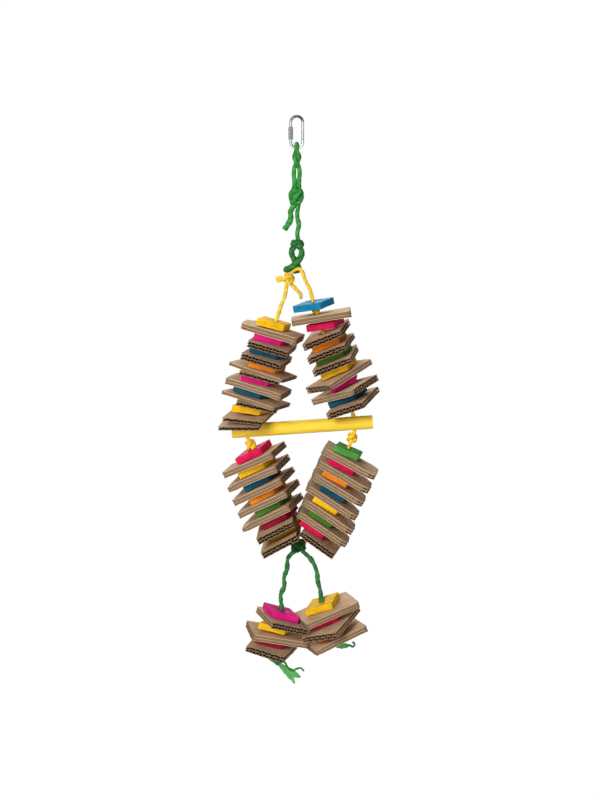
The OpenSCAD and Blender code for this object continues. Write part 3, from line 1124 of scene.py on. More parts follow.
@dataclass(frozen=True)
class Placement:
    """Where one flat piece lies: X along it, Y across it and Z through its thickness."""

    axes: Points
    centre: Points
    size: Points
    skew: float
    hole: Points
    hole_radius: float
    rounded: bool

    @staticmethod
    def read(solid: Solid, corner_radius: float) -> "Placement":
        """Reads a piece's frame, size and hole from its solid.

        Args:
            solid: Solid of the piece.
            corner_radius: Radius of a rounded corner, where it has one.

        Returns:
            The placement.
        """
        up = solid.main_direction()
        up = up if up[2] > 0 else -up
        side = solid.main_direction(up)
        side = side if side[int(np.argmax(np.abs(side)))] > 0 else -side
        axes = np.array([np.cross(side, up), side, up])
        local = solid.points @ axes.T
        middle = (local.min(axis=0) + local.max(axis=0)) / 2
        if Placement.is_rounded(local - middle, 1) != Placement.is_rounded(local - middle, -1):
            if Placement.is_rounded(local - middle, -1):
                axes[:2] *= -1
                local = solid.points @ axes.T
                middle = (local.min(axis=0) + local.max(axis=0)) / 2
        place = local - middle
        half = place.max(axis=0)
        slack = 0.15 * MM
        top = place[place[:, 2] > half[2] - slack]
        edge = np.abs(top[:, 1]) > half[1] - slack
        past_corner = np.abs(top[:, 1]) > half[1] - corner_radius - MM
        near_end = (np.abs(top[:, 0]) > half[0] - corner_radius) & past_corner
        far_end = np.abs(top[:, 0]) > half[0] - slack
        wall = top[~edge & ~near_end & ~far_end]
        back, front = top[top[:, 1] > half[1] - slack], top[top[:, 1] < -half[1] + slack]
        return Placement(
            axes=axes,
            centre=middle @ axes,
            size=2 * half,
            skew=float((back[:, 0].min() + back[:, 0].max() - front[:, 0].min() - front[:, 0].max()) / 2),
            hole=(wall[:, :2].min(axis=0) + wall[:, :2].max(axis=0)) / 2,
            hole_radius=float((wall[:, 1].max() - wall[:, 1].min()) / 2),
            rounded=Placement.is_rounded(place, 1),
        )

    @staticmethod
    def is_rounded(place: Points, end: int) -> bool:
        """Says whether no point lies in the corner at one end.

        Args:
            place: Points of the piece, round its middle.
            end: 1 for the end ahead along X and -1 for the one behind.

        Returns:
            Whether the corner is rounded off.
        """
        half = place.max(axis=0)
        in_corner = (end * place[:, 0] > half[0] - MM) & (place[:, 1] > half[1] - MM)
        return not bool(in_corner.any())

    def matrix(self) -> Matrix:
        """Returns the matrix from the piece's frame to the row frame."""
        matrix = Matrix.Identity(4)
        for row in range(3):
            for column in range(3):
                matrix[row][column] = float(self.axes[column][row])
            matrix[row][3] = float(self.centre[row])
        return matrix

    def hole_at(self, side: float) -> Points:
        """Returns the middle of the hole.

        Args:
            side: 1 for the top of the piece, 0 for its middle and -1 for its bottom.

        Returns:
            The place.
        """
        return self.centre + np.array([self.hole[0], self.hole[1], side * self.size[2] / 2]) @ self.axes


@dataclass
class CorrugatedBoard:
    """A cut rectangle of single-wall or double-wall corrugated board."""

    name: str
    placement: Placement
    lot: int
    liner: float = 0.44 * MM
    medium: float = 0.24 * MM
    flute_pitch: float = 6.6 * MM
    side_wall: float = 0.6 * MM
    corner_radius: float = 9.0 * MM
    cut_radius: float = 0.7 * MM
    double_from: float = 4.4 * MM
    bow: float = 0.5 * MM
    # side_share and rounded_reach shape the painted shade inside the flutes.
    side_share: float = 0.6
    rounded_reach: float = 1.4
    outline_step: float = 2.6 * MM
    trim: float = 0.14
    fluting_inset: float = 0.3 * MM
    steepness: float = 2.2

    def build(self, finishes: FinishSet, node: str) -> bpy.types.Object:
        """Builds the board in place of its CAD node.

        Args:
            finishes: Materials of the toy.
            node: Name of the CAD node.

        Returns:
            The board.
        """
        chance = np.random.default_rng(BOARD_SEED + self.lot)
        layers = 2 if self.placement.size[2] > self.double_from else 1
        step = (self.placement.size[2] - self.liner) / layers
        middle = layers / 2
        parts = [self.liner_sheet(chance, (index - middle) * step) for index in range(layers + 1)]
        parts += [self.fluting_sheet(chance, (index + 0.5 - middle) * step, step) for index in range(layers)]
        shape = self.bend(Shape.join(parts), chance)
        board = shape.make(self.name, [finishes.kraft, finishes.fluting], self.lot * 3.7)
        board.matrix_world = self.placement.matrix()
        return stand_in(board, node)

    def outline(self) -> Points:
        """Samples the board's outline."""
        half_length, half_width = self.placement.size[0] / 2, self.placement.size[1] / 2
        corners = [
            (half_length, -half_width),
            (half_length, half_width),
            (-half_length, half_width),
            (-half_length, -half_width),
        ]
        far = self.corner_radius if self.placement.rounded else self.cut_radius
        return rounded_outline(corners, [far, far, self.cut_radius, self.cut_radius], self.outline_step)

    def liner_sheet(self, chance: np.random.Generator, level: float) -> Shape:
        """Makes one of the flat papers.

        Args:
            chance: Source of the small unevenness of the cut.
            level: Height of the paper's middle.

        Returns:
            The paper's shape.
        """
        outline = self.outline()
        phase = chance.uniform(0, 2 * math.pi, 3)
        turn = np.arange(len(outline)) / len(outline) * 2 * math.pi
        fray = 0.10 * np.sin(5 * turn + phase[0]) + 0.08 * np.sin(13 * turn + phase[1])
        fray = fray + 0.06 * np.sin(31 * turn + phase[2])
        outline = outline - unit(outline) * (self.trim + fray)[:, None] * MM
        half = self.liner / 2
        shares = (0.0, 0.35, 0.7, 0.97)
        rings = [Ring(share, 0.0, level + half) for share in shares]
        rings += [Ring(1.0, 0.0, level + half, 1.0), Ring(1.0, 0.0, level - half, 1.0)]
        rings += [Ring(share, 0.0, level - half) for share in reversed(shares)]
        sheet = loft_slab(outline, self.placement.hole, self.placement.hole_radius, rings)
        top = len(shares) * len(outline)
        under = top + len(outline)
        cut = np.zeros(len(sheet.faces), bool)
        cut[top:under] = True
        # Liner faces inside the board take the fluting paper and its painted shade.
        limit = self.placement.size[2] / 2 - self.liner
        inner = np.zeros(len(sheet.faces), int)
        if level < limit:
            inner[:top] = 1
        if level > -limit:
            inner[under : under + top] = 1
        half_length = self.placement.size[0] / 2
        near_end = -sheet.points[:, 0] > half_length - MM
        far_end = sheet.points[:, 0] > half_length - MM
        cut_end = near_end if self.placement.rounded else near_end | far_end
        rim = np.where(cut_end, -sheet.values["rim"], sheet.values["rim"])
        # ends is the depth for the painted shade in the flutes: the distance in from the cut ends and, scaled
        # down, from the sides.
        ends = half_length - np.abs(sheet.points[:, 0])
        ends = np.minimum(ends, self.side_share * (self.placement.size[1] / 2 - np.abs(sheet.points[:, 1])))
        ends = self.shown_depth(sheet.points, ends)
        return Shape(sheet.points, sheet.faces, inner, cut, {"rim": rim, "depth": ends})

    def shown_depth(self, points: Points, depth: np.ndarray) -> np.ndarray:
        """Clears the depth of the painted shade near a rounded end, where light reaches into the flutes.

        Args:
            points: Points of a paper.
            depth: How far in from the cut each point lies.

        Returns:
            The depths.
        """
        if not self.placement.rounded:
            return depth
        start = self.placement.size[0] / 2 - self.rounded_reach * self.corner_radius
        return np.where(points[:, 0] > start, 0.0, depth)

    def far_end(self, across: np.ndarray) -> np.ndarray:
        """Finds how far the board reaches along X.

        Args:
            across: Distances across the board.

        Returns:
            The reach at each of them.
        """
        half_length, half_width = self.placement.size[0] / 2, self.placement.size[1] / 2
        if not self.placement.rounded:
            return np.full_like(across, half_length)
        past = np.clip(np.abs(across) - (half_width - self.corner_radius), 0.0, self.corner_radius)
        return half_length - self.corner_radius + np.sqrt(self.corner_radius**2 - past**2)

    def fluting_sheet(self, chance: np.random.Generator, level: float, step: float) -> Shape:
        """Makes one of the wavy papers between two flat ones.

        Args:
            chance: Source of the small unevenness of the cut.
            level: Height of the paper's middle.
            step: Distance between the two flat papers.

        Returns:
            The paper's shape.
        """
        half_width = self.placement.size[1] / 2 - self.fluting_inset
        wall = self.placement.size[1] / 2 - self.side_wall
        half_waves = round(4 * wall / self.flute_pitch) + int(chance.integers(0, 2))
        count = half_waves * 8 + 5
        across = np.linspace(-half_width, half_width, count)
        swing = (step - self.liner - self.medium) / 2
        angle = math.pi * half_waves * (across + wall) / (2 * wall)
        wave = swing * np.tanh(self.steepness * np.sin(angle)) / math.tanh(self.steepness)
        slope = np.gradient(wave, across)
        normal = unit(np.column_stack([-slope, np.ones(count)])) * self.medium / 2
        fray = chance.uniform(0.1, 0.5, (2, count)) * MM
        near, far = -self.placement.size[0] / 2 + fray[0], self.far_end(across) - fray[1]
        shares = np.array([0.0, 0.04, 0.12, 0.5, 0.88, 0.96, 1.0])[:, None]
        along = near + shares * (far - near)
        sides = []
        for sign in (1, -1):
            y = np.broadcast_to(across + sign * normal[:, 0], along.shape)
            z = np.broadcast_to(level + wave + sign * normal[:, 1], along.shape)
            sides.append(np.stack([along, y, z], axis=-1).reshape(-1, 3))
        top = grid_faces(len(shares), count, False, False)
        centre = sides[0][top].mean(axis=1)[:, :2]
        keep = np.linalg.norm(centre - self.placement.hole, axis=1) > self.placement.hole_radius
        under = top[keep][:, ::-1] + len(sides[0])
        border = np.concatenate([
            np.arange(count),
            np.arange(1, len(shares)) * count + count - 1,
            (len(shares) - 1) * count + np.arange(count - 2, -1, -1),
            np.arange(len(shares) - 2, 0, -1) * count,
        ])
        after = np.roll(border, -1)
        rim = np.stack([border, after, after + len(sides[0]), border + len(sides[0])], axis=1)
        points = np.concatenate(sides)
        rows = 2 * len(shares)
        # ends is the depth for the painted shade in the flutes: the distance in from the cut ends and, scaled
        # down, from the sides.
        ends = np.minimum(points[:, 0] - np.tile(near, rows), np.tile(far, rows) - points[:, 0])
        ends = np.minimum(ends, self.side_share * (half_width - np.abs(points[:, 1])))
        ends = self.shown_depth(points, ends)
        faces = np.concatenate([top[keep], under, rim])
        flat = np.zeros(len(faces), bool)
        flat[-len(rim) :] = True
        values = {"rim": np.zeros(len(points)), "depth": np.maximum(ends, 0.0)}
        return Shape(points, faces, np.ones(len(faces), int), flat, values)

    def bend(self, shape: Shape, chance: np.random.Generator) -> Shape:
        """Gives the board a slight bow, and dents one or two of its corners.

        Args:
            shape: The flat board.
            chance: Source of the unevenness.

        Returns:
            The bent board.
        """
        points = shape.points.copy()
        half = self.placement.size / 2
        x, y = points[:, 0] / half[0], points[:, 1] / half[1]
        away = np.clip((np.hypot(points[:, 0], points[:, 1]) - 11 * MM) / (16 * MM), 0.0, 1.0) ** 1.5
        pull = chance.uniform(-1.0, 1.0, 4)
        ripple = 0.25 * np.sin(7 * x + 5 * pull[3]) + 0.2 * np.sin(5 * y - 4 * pull[0])
        for _ in range(int(chance.integers(1, 3))):
            corner = chance.choice([-1.0, 1.0], 2) * half[:2]
            near = np.exp(-(((points[:, :2] - corner) ** 2).sum(axis=1)) / (5 * MM) ** 2)
            points[:, 2] *= 1 - chance.uniform(0.1, 0.35) * near
            points[:, 2] -= chance.uniform(0.0, 0.6) * MM * near
        lift = pull[0] * x**2 * 0.6 + pull[1] * y * 0.5 + pull[2] * x * y * 0.6 + ripple * 0.4
        points[:, 2] += self.bow * away * lift
        return replace(shape, points=points)


@dataclass
class DyedSlice:
    """A slanted slice of dyed wood."""

    name: str
    placement: Placement
    dye: Dye
    lot: int
    edge: float = 0.55 * MM
    corner_radius: float = 0.8 * MM
    outline_step: float = 2.0 * MM
    wear: float = 0.12
    wave: float = 0.07 * MM

    def build(self, finishes: FinishSet, node: str) -> bpy.types.Object:
        """Builds the slice in place of its solid in the CAD node.

        Args:
            finishes: Materials of the toy.
            node: Name of the CAD node.

        Returns:
            The slice.
        """
        chance = np.random.default_rng(SLICE_SEED + self.lot)
        half_width = self.placement.size[1] / 2
        half_length = (self.placement.size[0] - abs(self.placement.skew)) / 2
        lean = self.placement.skew / 2
        corners = [
            (half_length - lean, -half_width),
            (half_length + lean, half_width),
            (-half_length + lean, half_width),
            (-half_length - lean, -half_width),
        ]
        outline = rounded_outline(corners, [self.corner_radius] * 4, self.outline_step)
        outline = outline - unit(outline) * chance.uniform(0.0, self.wear, (len(outline), 1)) * MM
        half = self.placement.size[2] / 2
        edge = self.edge
        top = [
            Ring(0.0, 0.0, half - 0.3 * MM, 0.6),
            Ring(0.0, -0.3 * MM, half, 0.4),
            Ring(0.5, 0.0, half),
            Ring(1.0, 1.8 * edge, half),
            Ring(1.0, edge, half, 0.7),
            Ring(1.0, 0.3 * edge, half - 0.3 * edge, 1.0),
            Ring(1.0, 0.0, half - edge, 0.7),
            Ring(1.0, 0.0, half - 1.8 * edge),
        ]
        rings = top + [Ring(ring.share, ring.inset, -ring.height, ring.rim) for ring in reversed(top)]
        shape = loft_slab(outline, self.placement.hole, self.placement.hole_radius, rings)
        points = shape.points.copy()
        wobble = chance.uniform(0, 6, 3)
        swell = self.wave * np.sin(330 * points[:, 0] + wobble[0])
        points[:, 2] += swell * np.sin(400 * points[:, 1] + wobble[1])
        piece = replace(shape, points=points).make(self.name, [finishes.dyes[self.dye]], self.lot * 5.3)
        piece.matrix_world = self.placement.matrix()
        return stand_in(piece, node)


# Ropes


@dataclass(frozen=True)
class RopeLay:
    """How a paper rope is laid: thickness, length of one twist, and how far its two plies stand out."""

    diameter: float
    twist: float
    ply: float = 0.08
    around: int = 16
    fullness: float = 1.1
    crush: float = 1.0


def smooth_route(route: Sequence[Sequence[float]], spacing: float) -> Points:
    """Runs a smooth line through the points of a route.

    Args:
        route: Points of the route, in metres.
        spacing: Distance between the samples.

    Returns:
        Evenly spaced points of the line.
    """
    given = np.array(route, float)
    knots = np.concatenate([[0.0], np.cumsum(np.sqrt(np.linalg.norm(np.diff(given, axis=0), axis=1)))])
    padded = np.concatenate([[2 * given[0] - given[1]], given, [2 * given[-1] - given[-2]]])
    times = np.concatenate([[2 * knots[0] - knots[1]], knots, [2 * knots[-1] - knots[-2]]])
    line: list[Points] = []
    for index in range(1, len(padded) - 2):
        t0, t1, t2, t3 = times[index - 1 : index + 3]
        p0, p1, p2, p3 = padded[index - 1 : index + 3]
        for t in np.linspace(t1, t2, 12, endpoint=False):
            a1 = (t1 - t) / (t1 - t0) * p0 + (t - t0) / (t1 - t0) * p1
            a2 = (t2 - t) / (t2 - t1) * p1 + (t - t1) / (t2 - t1) * p2
            a3 = (t3 - t) / (t3 - t2) * p2 + (t - t2) / (t3 - t2) * p3
            b1 = (t2 - t) / (t2 - t0) * a1 + (t - t0) / (t2 - t0) * a2
            b2 = (t3 - t) / (t3 - t1) * a2 + (t - t1) / (t3 - t1) * a3
            line.append((t2 - t) / (t2 - t1) * b1 + (t - t1) / (t2 - t1) * b2)
    line.append(given[-1])
    return even_route(np.array(line), spacing)


def even_route(line: Points, spacing: float) -> Points:
    """Spaces the points of a line evenly.

    Args:
        line: Points of the line.
        spacing: Distance between the samples.

    Returns:
        The new points.
    """
    lengths = np.concatenate([[0.0], np.cumsum(np.linalg.norm(np.diff(line, axis=0), axis=1))])
    count = max(3, int(round(lengths[-1] / spacing)) + 1)
    wanted = np.linspace(0.0, lengths[-1], count)
    return np.stack([np.interp(wanted, lengths, line[:, axis]) for axis in range(3)], axis=1)


def twist_rope(line: Points, lay: RopeLay, lot: int, closed: bool = False) -> Shape:
    """Sweeps a two-ply twisted rope along a line.

    Args:
        line: Evenly spaced centreline.
        lay: How the rope is laid.
        lot: Number that sets the rope's wrinkles apart.
        closed: Whether the line is a ring.

    Returns:
        The rope's shape.
    """
    count = len(line)
    heading = unit(np.gradient(line, axis=0))
    if closed:
        heading = unit(np.roll(line, -1, axis=0) - np.roll(line, 1, axis=0))
    first = np.empty_like(line)
    guide = np.array([0.31, 0.92, 0.22])
    for index in range(count):
        guide = unit(guide - heading[index] * (guide @ heading[index]))
        first[index] = guide
    second = np.cross(heading, first)
    travelled = np.concatenate([[0.0], np.cumsum(np.linalg.norm(np.diff(line, axis=0), axis=1))])
    chance = np.random.default_rng(ROPE_SEED + lot)
    phase = chance.uniform(0, 2 * math.pi, 6)
    uneven = 0.10 * np.sin(travelled * 330 + phase[0]) + 0.07 * np.sin(travelled * 790 + phase[1])
    uneven = lay.crush * uneven
    turned = 2 * math.pi * travelled / lay.twist + 1.1 * np.sin(travelled * 210 + phase[2])
    angle = np.linspace(0, 2 * math.pi, lay.around, endpoint=False)[None, :]
    ply_angle = angle - turned[:, None]
    crest = 0.5 + 0.5 * np.cos(2 * ply_angle)
    crumple = 0.03 * np.sin(5 * ply_angle + 700 * travelled[:, None] + phase[3])
    crumple += 0.04 * np.sin(3 * ply_angle - 1300 * travelled[:, None] + phase[4])
    ridge = 2 * lay.ply * (crest**0.6 - 0.6)
    radius = lay.diameter / 2 * (lay.fullness + ridge + lay.crush * crumple + 0.8 * uneven[:, None])
    across = np.cos(angle)[..., None] * first[:, None, :] + np.sin(angle)[..., None] * second[:, None, :]
    points = (line[:, None, :] + radius[..., None] * across).reshape(-1, 3)
    flat_lay = np.stack([
        np.broadcast_to(travelled[:, None], radius.shape),
        radius * np.cos(ply_angle),
        radius * np.sin(ply_angle),
    ], axis=-1).reshape(-1, 3)
    faces = grid_faces(count, lay.around, closed, True)
    crests = crest.ravel()
    if not closed:
        tips = (line[:1] - heading[:1] * TIP_REACH, line[-1:] + heading[-1:] * TIP_REACH)
        points = np.concatenate([points, *tips])
        flat_lay = np.concatenate([flat_lay, [[0.0, 0.0, 0.0]], [[travelled[-1], 0.0, 0.0]]])
        crests = np.concatenate([crests, [0.3, 0.3]])
        here = np.arange(lay.around)
        there = (here + 1) % lay.around
        fan = np.stack([here[::2], there[::2], there[1::2]], axis=1)
        tip = np.full((len(fan), 1), count * lay.around)
        start = np.hstack([fan, tip])
        end = np.hstack([fan[:, ::-1] + (count - 1) * lay.around, tip + 1])
        faces = np.concatenate([faces, start, end])
    return Shape.plain(points, faces, {"lay": flat_lay, "crest": crests})


def torus_route(turns: int, crossings: int, ring: float, swell: float, rise: float, spacing: float) -> Points:
    """Winds a closed knot line round the Z axis.

    Args:
        turns: Times that the line goes round the axis.
        crossings: Times that it passes through the middle.
        ring: Radius of the ring.
        swell: How far the line moves in and out.
        rise: How far it moves up and down.
        spacing: Distance between the samples.

    Returns:
        Points of the closed line.
    """
    angle = np.linspace(0, 2 * math.pi, 720)
    reach = ring + swell * np.cos(crossings * angle)
    line = np.stack([
        reach * np.cos(turns * angle),
        reach * np.sin(turns * angle),
        rise * np.sin(crossings * angle),
    ], axis=1)
    return even_route(line, spacing)[:-1]


@dataclass
class Knot:
    """A tied knot that fills the place of its CAD barrel."""

    name: str
    node: str
    centre: Sequence[float]
    axis: Sequence[float]
    colour: RopeColour
    lay: RopeLay
    width: float
    height: float
    turns: int
    crossings: int
    lot: int

    def build(self, finishes: FinishSet) -> bpy.types.Object:
        """Builds the knot round its centre, with its turns about its axis.

        Args:
            finishes: Materials of the toy.

        Returns:
            The knot.
        """
        rise = (self.height - self.lay.diameter) / 2
        reach = (self.width - self.lay.diameter) / 2
        swell = 0.30 * reach
        spacing = self.lay.diameter * ROPE_STEPS
        line = torus_route(self.turns, self.crossings, reach - swell, swell, rise, spacing)
        turn = Vector((0, 0, 1)).rotation_difference(Vector(self.axis).normalized()).to_matrix()
        line = line @ np.array(turn).T + np.array(self.centre)
        rope = twist_rope(line, self.lay, self.lot, closed=True)
        piece = rope.make(self.name, [finishes.ropes[self.colour]], self.lot * 2.9)
        return stand_in(piece, self.node)


@dataclass
class Rope:
    """A length of paper rope along a route."""

    name: str
    node: str
    route: Sequence[Sequence[float]]
    colour: RopeColour
    lay: RopeLay
    lot: int

    def build(self, finishes: FinishSet) -> bpy.types.Object:
        """Builds the rope in place of its CAD tube.

        Args:
            finishes: Materials of the toy.

        Returns:
            The rope.
        """
        self.line = smooth_route(self.route, self.lay.diameter * ROPE_STEPS)
        rope = twist_rope(self.line, self.lay, self.lot)
        piece = rope.make(self.name, [finishes.ropes[self.colour]], self.lot * 2.9)
        return stand_in(piece, self.node)


@dataclass
class PaperStrip:
    """A flattened, frayed end of paper rope."""

    name: str
    start: Points
    turn: float
    spine: Sequence[Point]
    widths: Sequence[float]
    lot: int
    node: str = "rope_tails"
    sheet: float = 0.35 * MM
    fold: float = 0.40 * MM

    def build(self, finishes: FinishSet) -> bpy.types.Object:
        """Builds the strip as a folded ribbon in the front plane.

        Args:
            finishes: Materials of the toy.

        Returns:
            The strip.
        """
        spine = smooth_route([[value * MM for value in point] for point in self.spine], 0.7 * MM)
        share = np.linspace(0, 1, len(spine))
        width = np.interp(share, np.linspace(0, 1, len(self.widths)), self.widths) * MM
        heading = unit(np.gradient(spine, axis=0))
        side = unit(np.cross(heading, np.array([0.0, 1.0, 0.0])))
        chance = np.random.default_rng(STRIP_SEED + self.lot)
        phase = chance.uniform(0, 6, 4)
        across = np.linspace(-0.5, 0.5, 13)
        ragged = 1 + 0.08 * np.sin(share * 23 + phase[0]) + 0.04 * np.sin(share * 71 + phase[1])
        rows = []
        for thickness in (1, -1):
            crease = np.sin(across[None, :] * 16 + 5 * share[:, None] + phase[2])
            fold = self.fold * crease * (0.3 + share[:, None])
            fold = fold + thickness * self.sheet / 2
            reach = across[None, :] * (width * ragged)[:, None]
            flat = spine[:, None, :] + side[:, None, :] * reach[..., None]
            rows.append(flat + fold[..., None] * np.array([0.0, 1.0, 0.0]))
        ring = np.concatenate([rows[0], rows[1][:, ::-1]], axis=1)
        points = ring.reshape(-1, 3)
        faces = grid_faces(len(spine), ring.shape[1], False, True)
        half = len(across)
        cap = np.array([[k, k + 1, 2 * half - 2 - k, 2 * half - 1 - k] for k in range(half - 1)])
        faces = np.concatenate([faces, cap, cap[:, ::-1] + (len(spine) - 1) * ring.shape[1]])
        turn = np.array(Matrix.Rotation(math.radians(self.turn), 3, "Y"))
        values = {"lay": points.copy(), "crest": np.full(len(points), 0.7)}
        shape = Shape.plain(points @ turn.T + self.start, faces, values)
        piece = shape.make(self.name, [finishes.ropes[RopeColour.PALE_GREEN]], self.lot * 2.3)
        return stand_in(piece, self.node)


# Sub-assemblies


@dataclass
class QuickLink:
    """The steel link and its threaded sleeve, which keep their CAD shapes."""

    edge: float = 0.18 * MM

    def build(self, frame: dict, finishes: FinishSet) -> None:
        """Gives the two CAD nodes their steel, and eases the sleeve's edges."""
        for name in ("link", "link_sleeve"):
            give_finish(frame["nodes"][name], finishes.steel)
        ease_edges(frame["nodes"]["link_sleeve"], self.edge, segments=2, angle=35)
        LOG.info("link: steel link and sleeve")


@dataclass
class Perch:
    """The dyed dowel with its two rope holes. Its numbers repeat those of the part's source."""

    middle: Point = (4.8, 0.0, -270.0)
    tilt: float = -4.0
    hole_span: float = 94.0
    hole_shift: float = -1.5
    diameter: float = 12.0
    edge: float = 0.5 * MM

    def hole(self, side: int, end: int) -> Points:
        """Returns the place of a rope hole.

        Args:
            side: -1 for the left hole and 1 for the right one.
            end: 1 for its top end and -1 for its bottom end.

        Returns:
            The place, in metres.
        """
        along = self.hole_shift + side * self.hole_span / 2
        up = end * self.diameter / 2
        angle = math.radians(self.tilt)
        cosine, sine = math.cos(angle), math.sin(angle)
        turned = np.array([along * cosine + up * sine, 0.0, -along * sine + up * cosine])
        return (np.array(self.middle) + turned) * MM

    def build(self, frame: dict, finishes: FinishSet) -> None:
        """Dyes the CAD dowel and eases its edges."""
        give_finish(frame["nodes"]["perch"], finishes.dowel)
        ease_edges(frame["nodes"]["perch"], self.edge, segments=3, angle=50)
        LOG.info("perch: dyed dowel")


@dataclass
class PieceStack:
    """One stack of boards and slices on its rope."""

    stack: Stack
    frame: dict
    number: int
    board_corner: float = 10 * MM

    def __post_init__(self) -> None:
        """Reads the stack's pieces from the frame."""
        self.name, self.dyes = self.stack.value
        nodes = self.frame["nodes"]
        self.slices = [Placement.read(solid, 0.0) for solid in Solid.read_all(nodes[f"{self.name}_slices"])]
        self.board_names = sorted(
            (node for node in nodes if node.startswith(f"{self.name}_card_")),
            key=lambda node: int(node.rsplit("_", 1)[1]),
        )
        solids = [Solid.read_all(nodes[node])[0] for node in self.board_names]
        self.boards = [Placement.read(solid, self.board_corner) for solid in solids]

    def top(self) -> Points:
        """Returns where the rope enters the stack."""
        return self.slices[0].hole_at(1)

    def end(self) -> Points:
        """Returns where the rope leaves the stack."""
        return self.boards[-1].hole_at(-1)

    def axis(self) -> Points:
        """Returns the direction of the rope up the stack."""
        return unit(self.slices[0].hole_at(0) - self.boards[-1].hole_at(0))

    def rope_points(self) -> list[Points]:
        """Returns the points of the rope inside the stack, from the top down."""
        inside = [piece.hole_at(0) for piece in self.slices[1::2]]
        return [self.top(), *inside, self.end()]

    def build(self, finishes: FinishSet) -> None:
        """Builds the stack's boards and slices."""
        first_lot = LOTS_PER_STACK * self.number
        for index, (node, placement) in enumerate(zip(self.board_names, self.boards)):
            board_name = f"{self.name}_board_{index + 1}"
            CorrugatedBoard(board_name, placement, first_lot + index).build(finishes, node)
        for index, (placement, dye) in enumerate(zip(self.slices, self.dyes)):
            slice_name = f"{self.name}_slice_{index + 1}"
            DyedSlice(slice_name, placement, dye, first_lot + index).build(finishes, f"{self.name}_slices")
        LOG.info("%s: %d boards and %d slices", self.name, len(self.boards), len(self.slices))


def scaled(*points: Point) -> list[Points]:
    """Turns points from millimetres into metres."""
    return [np.array(point) * MM for point in points]


def spot(x: float, y: float, z: float) -> Points:
    """Turns one point from millimetres into metres."""
    return np.array([x, y, z]) * MM


@dataclass
class HangerRopes:
    """Green rope from the link down to the eye, with its two knots."""

    lay: RopeLay = RopeLay(3.3 * MM, 13 * MM, fullness=1.2)
    tail_lay: RopeLay = RopeLay(4.4 * MM, 15 * MM)
    eye_lay: RopeLay = RopeLay(4.3 * MM, 14 * MM, fullness=1.22)
    loop: Sequence[Point] = (
        (-2.2, 0, -60),
        (-1.8, 0, -55),
        (-2.5, 0, -47.5),
        (-1.9, 0, -42.5),
        (0, 1.9, -38.5),
        (1.9, 0, -34.5),
        (1.4, -1.6, -31),
        (0, -3.2, -27),
        (0, -2.5, -23.5),
        (0, 0, -22.5),
        (0, 2.5, -23.5),
        (0, 3.2, -27),
        (-1.4, 1.6, -31),
        (-1.9, 0, -34.5),
        (0, -1.9, -38.5),
        (1.9, 0, -42.5),
        (2.5, 0, -47.5),
        (1.8, 0, -55),
        (2, 0, -60),
    )
    tail: Sequence[Point] = (
        (-2.6, 0, -74),
        (-3.2, 0, -76),
        (-5.2, 0, -80),
        (-5.3, 0, -87),
        (-10.5, 0, -96),
    )
    strand: Sequence[Point] = (
        (1.4, 0, -74),
        (0.4, 0, -84),
        (1.8, 0, -92),
        (0.5, 0, -99),
        (1.2, 0, -105.8),
    )
    eye: Sequence[Point] = (
        (2.2, 0, -110.6),
        (4.2, 0, -114),
        (3.9, -0.8, -118),
        (1.2, -2.7, -122.5),
        (-4.4, -3.3, -127.5),
        (-8.6, 0.2, -130.4),
        (-8, 5.5, -131.2),
        (-2.5, 6.6, -132.6),
        (1.6, 4, -131.4),
        (-0.6, 2.4, -124.5),
        (-3.9, 1.2, -118.6),
        (-4.3, 0, -114),
        (-2.2, 0, -110.6),
    )

    def build(self, finishes: FinishSet) -> None:
        """Builds the loop, the two strands, the eye and the knots."""
        # deep is a darker copy of the green paper, painted shade on the eye and its knot.
        green, deep = RopeColour.GREEN, RopeColour.DEEP_GREEN
        knot = Knot(
            name="hanger_knot",
            node="hanger_knots",
            centre=spot(-0.5, 0, -67),
            axis=(0.08, 0, 1),
            colour=green,
            lay=self.lay,
            width=12.8 * MM,
            height=14.5 * MM,
            turns=3,
            crossings=4,
            lot=11,
        ).build(finishes)
        eye_knot = Knot(
            name="eye_knot",
            node="hanger_knots",
            centre=spot(0, 0, -108.2),
            axis=(0.1, 0.1, 1),
            colour=deep,
            lay=self.eye_lay,
            width=11.8 * MM,
            height=6.6 * MM,
            turns=2,
            crossings=3,
            lot=12,
        ).build(finishes)
        tail_rope = Rope("hanger_tail", "hanger_rope", scaled(*self.tail), green, self.tail_lay, 13)
        tail = tail_rope.build(finishes)
        for name, route, colour, lay, extra in (
            ("hanger_loop", self.loop, green, self.lay, [knot]),
            ("hanger_strand", self.strand, green, self.lay, [tail, eye_knot]),
            ("hanger_eye", self.eye, deep, self.eye_lay, []),
        ):
            rope = Rope(name, "hanger_rope", scaled(*route), colour, lay, len(name))
            rope.build(finishes)
        LOG.info("hanger: loop, strand, eye, tail and two knots")


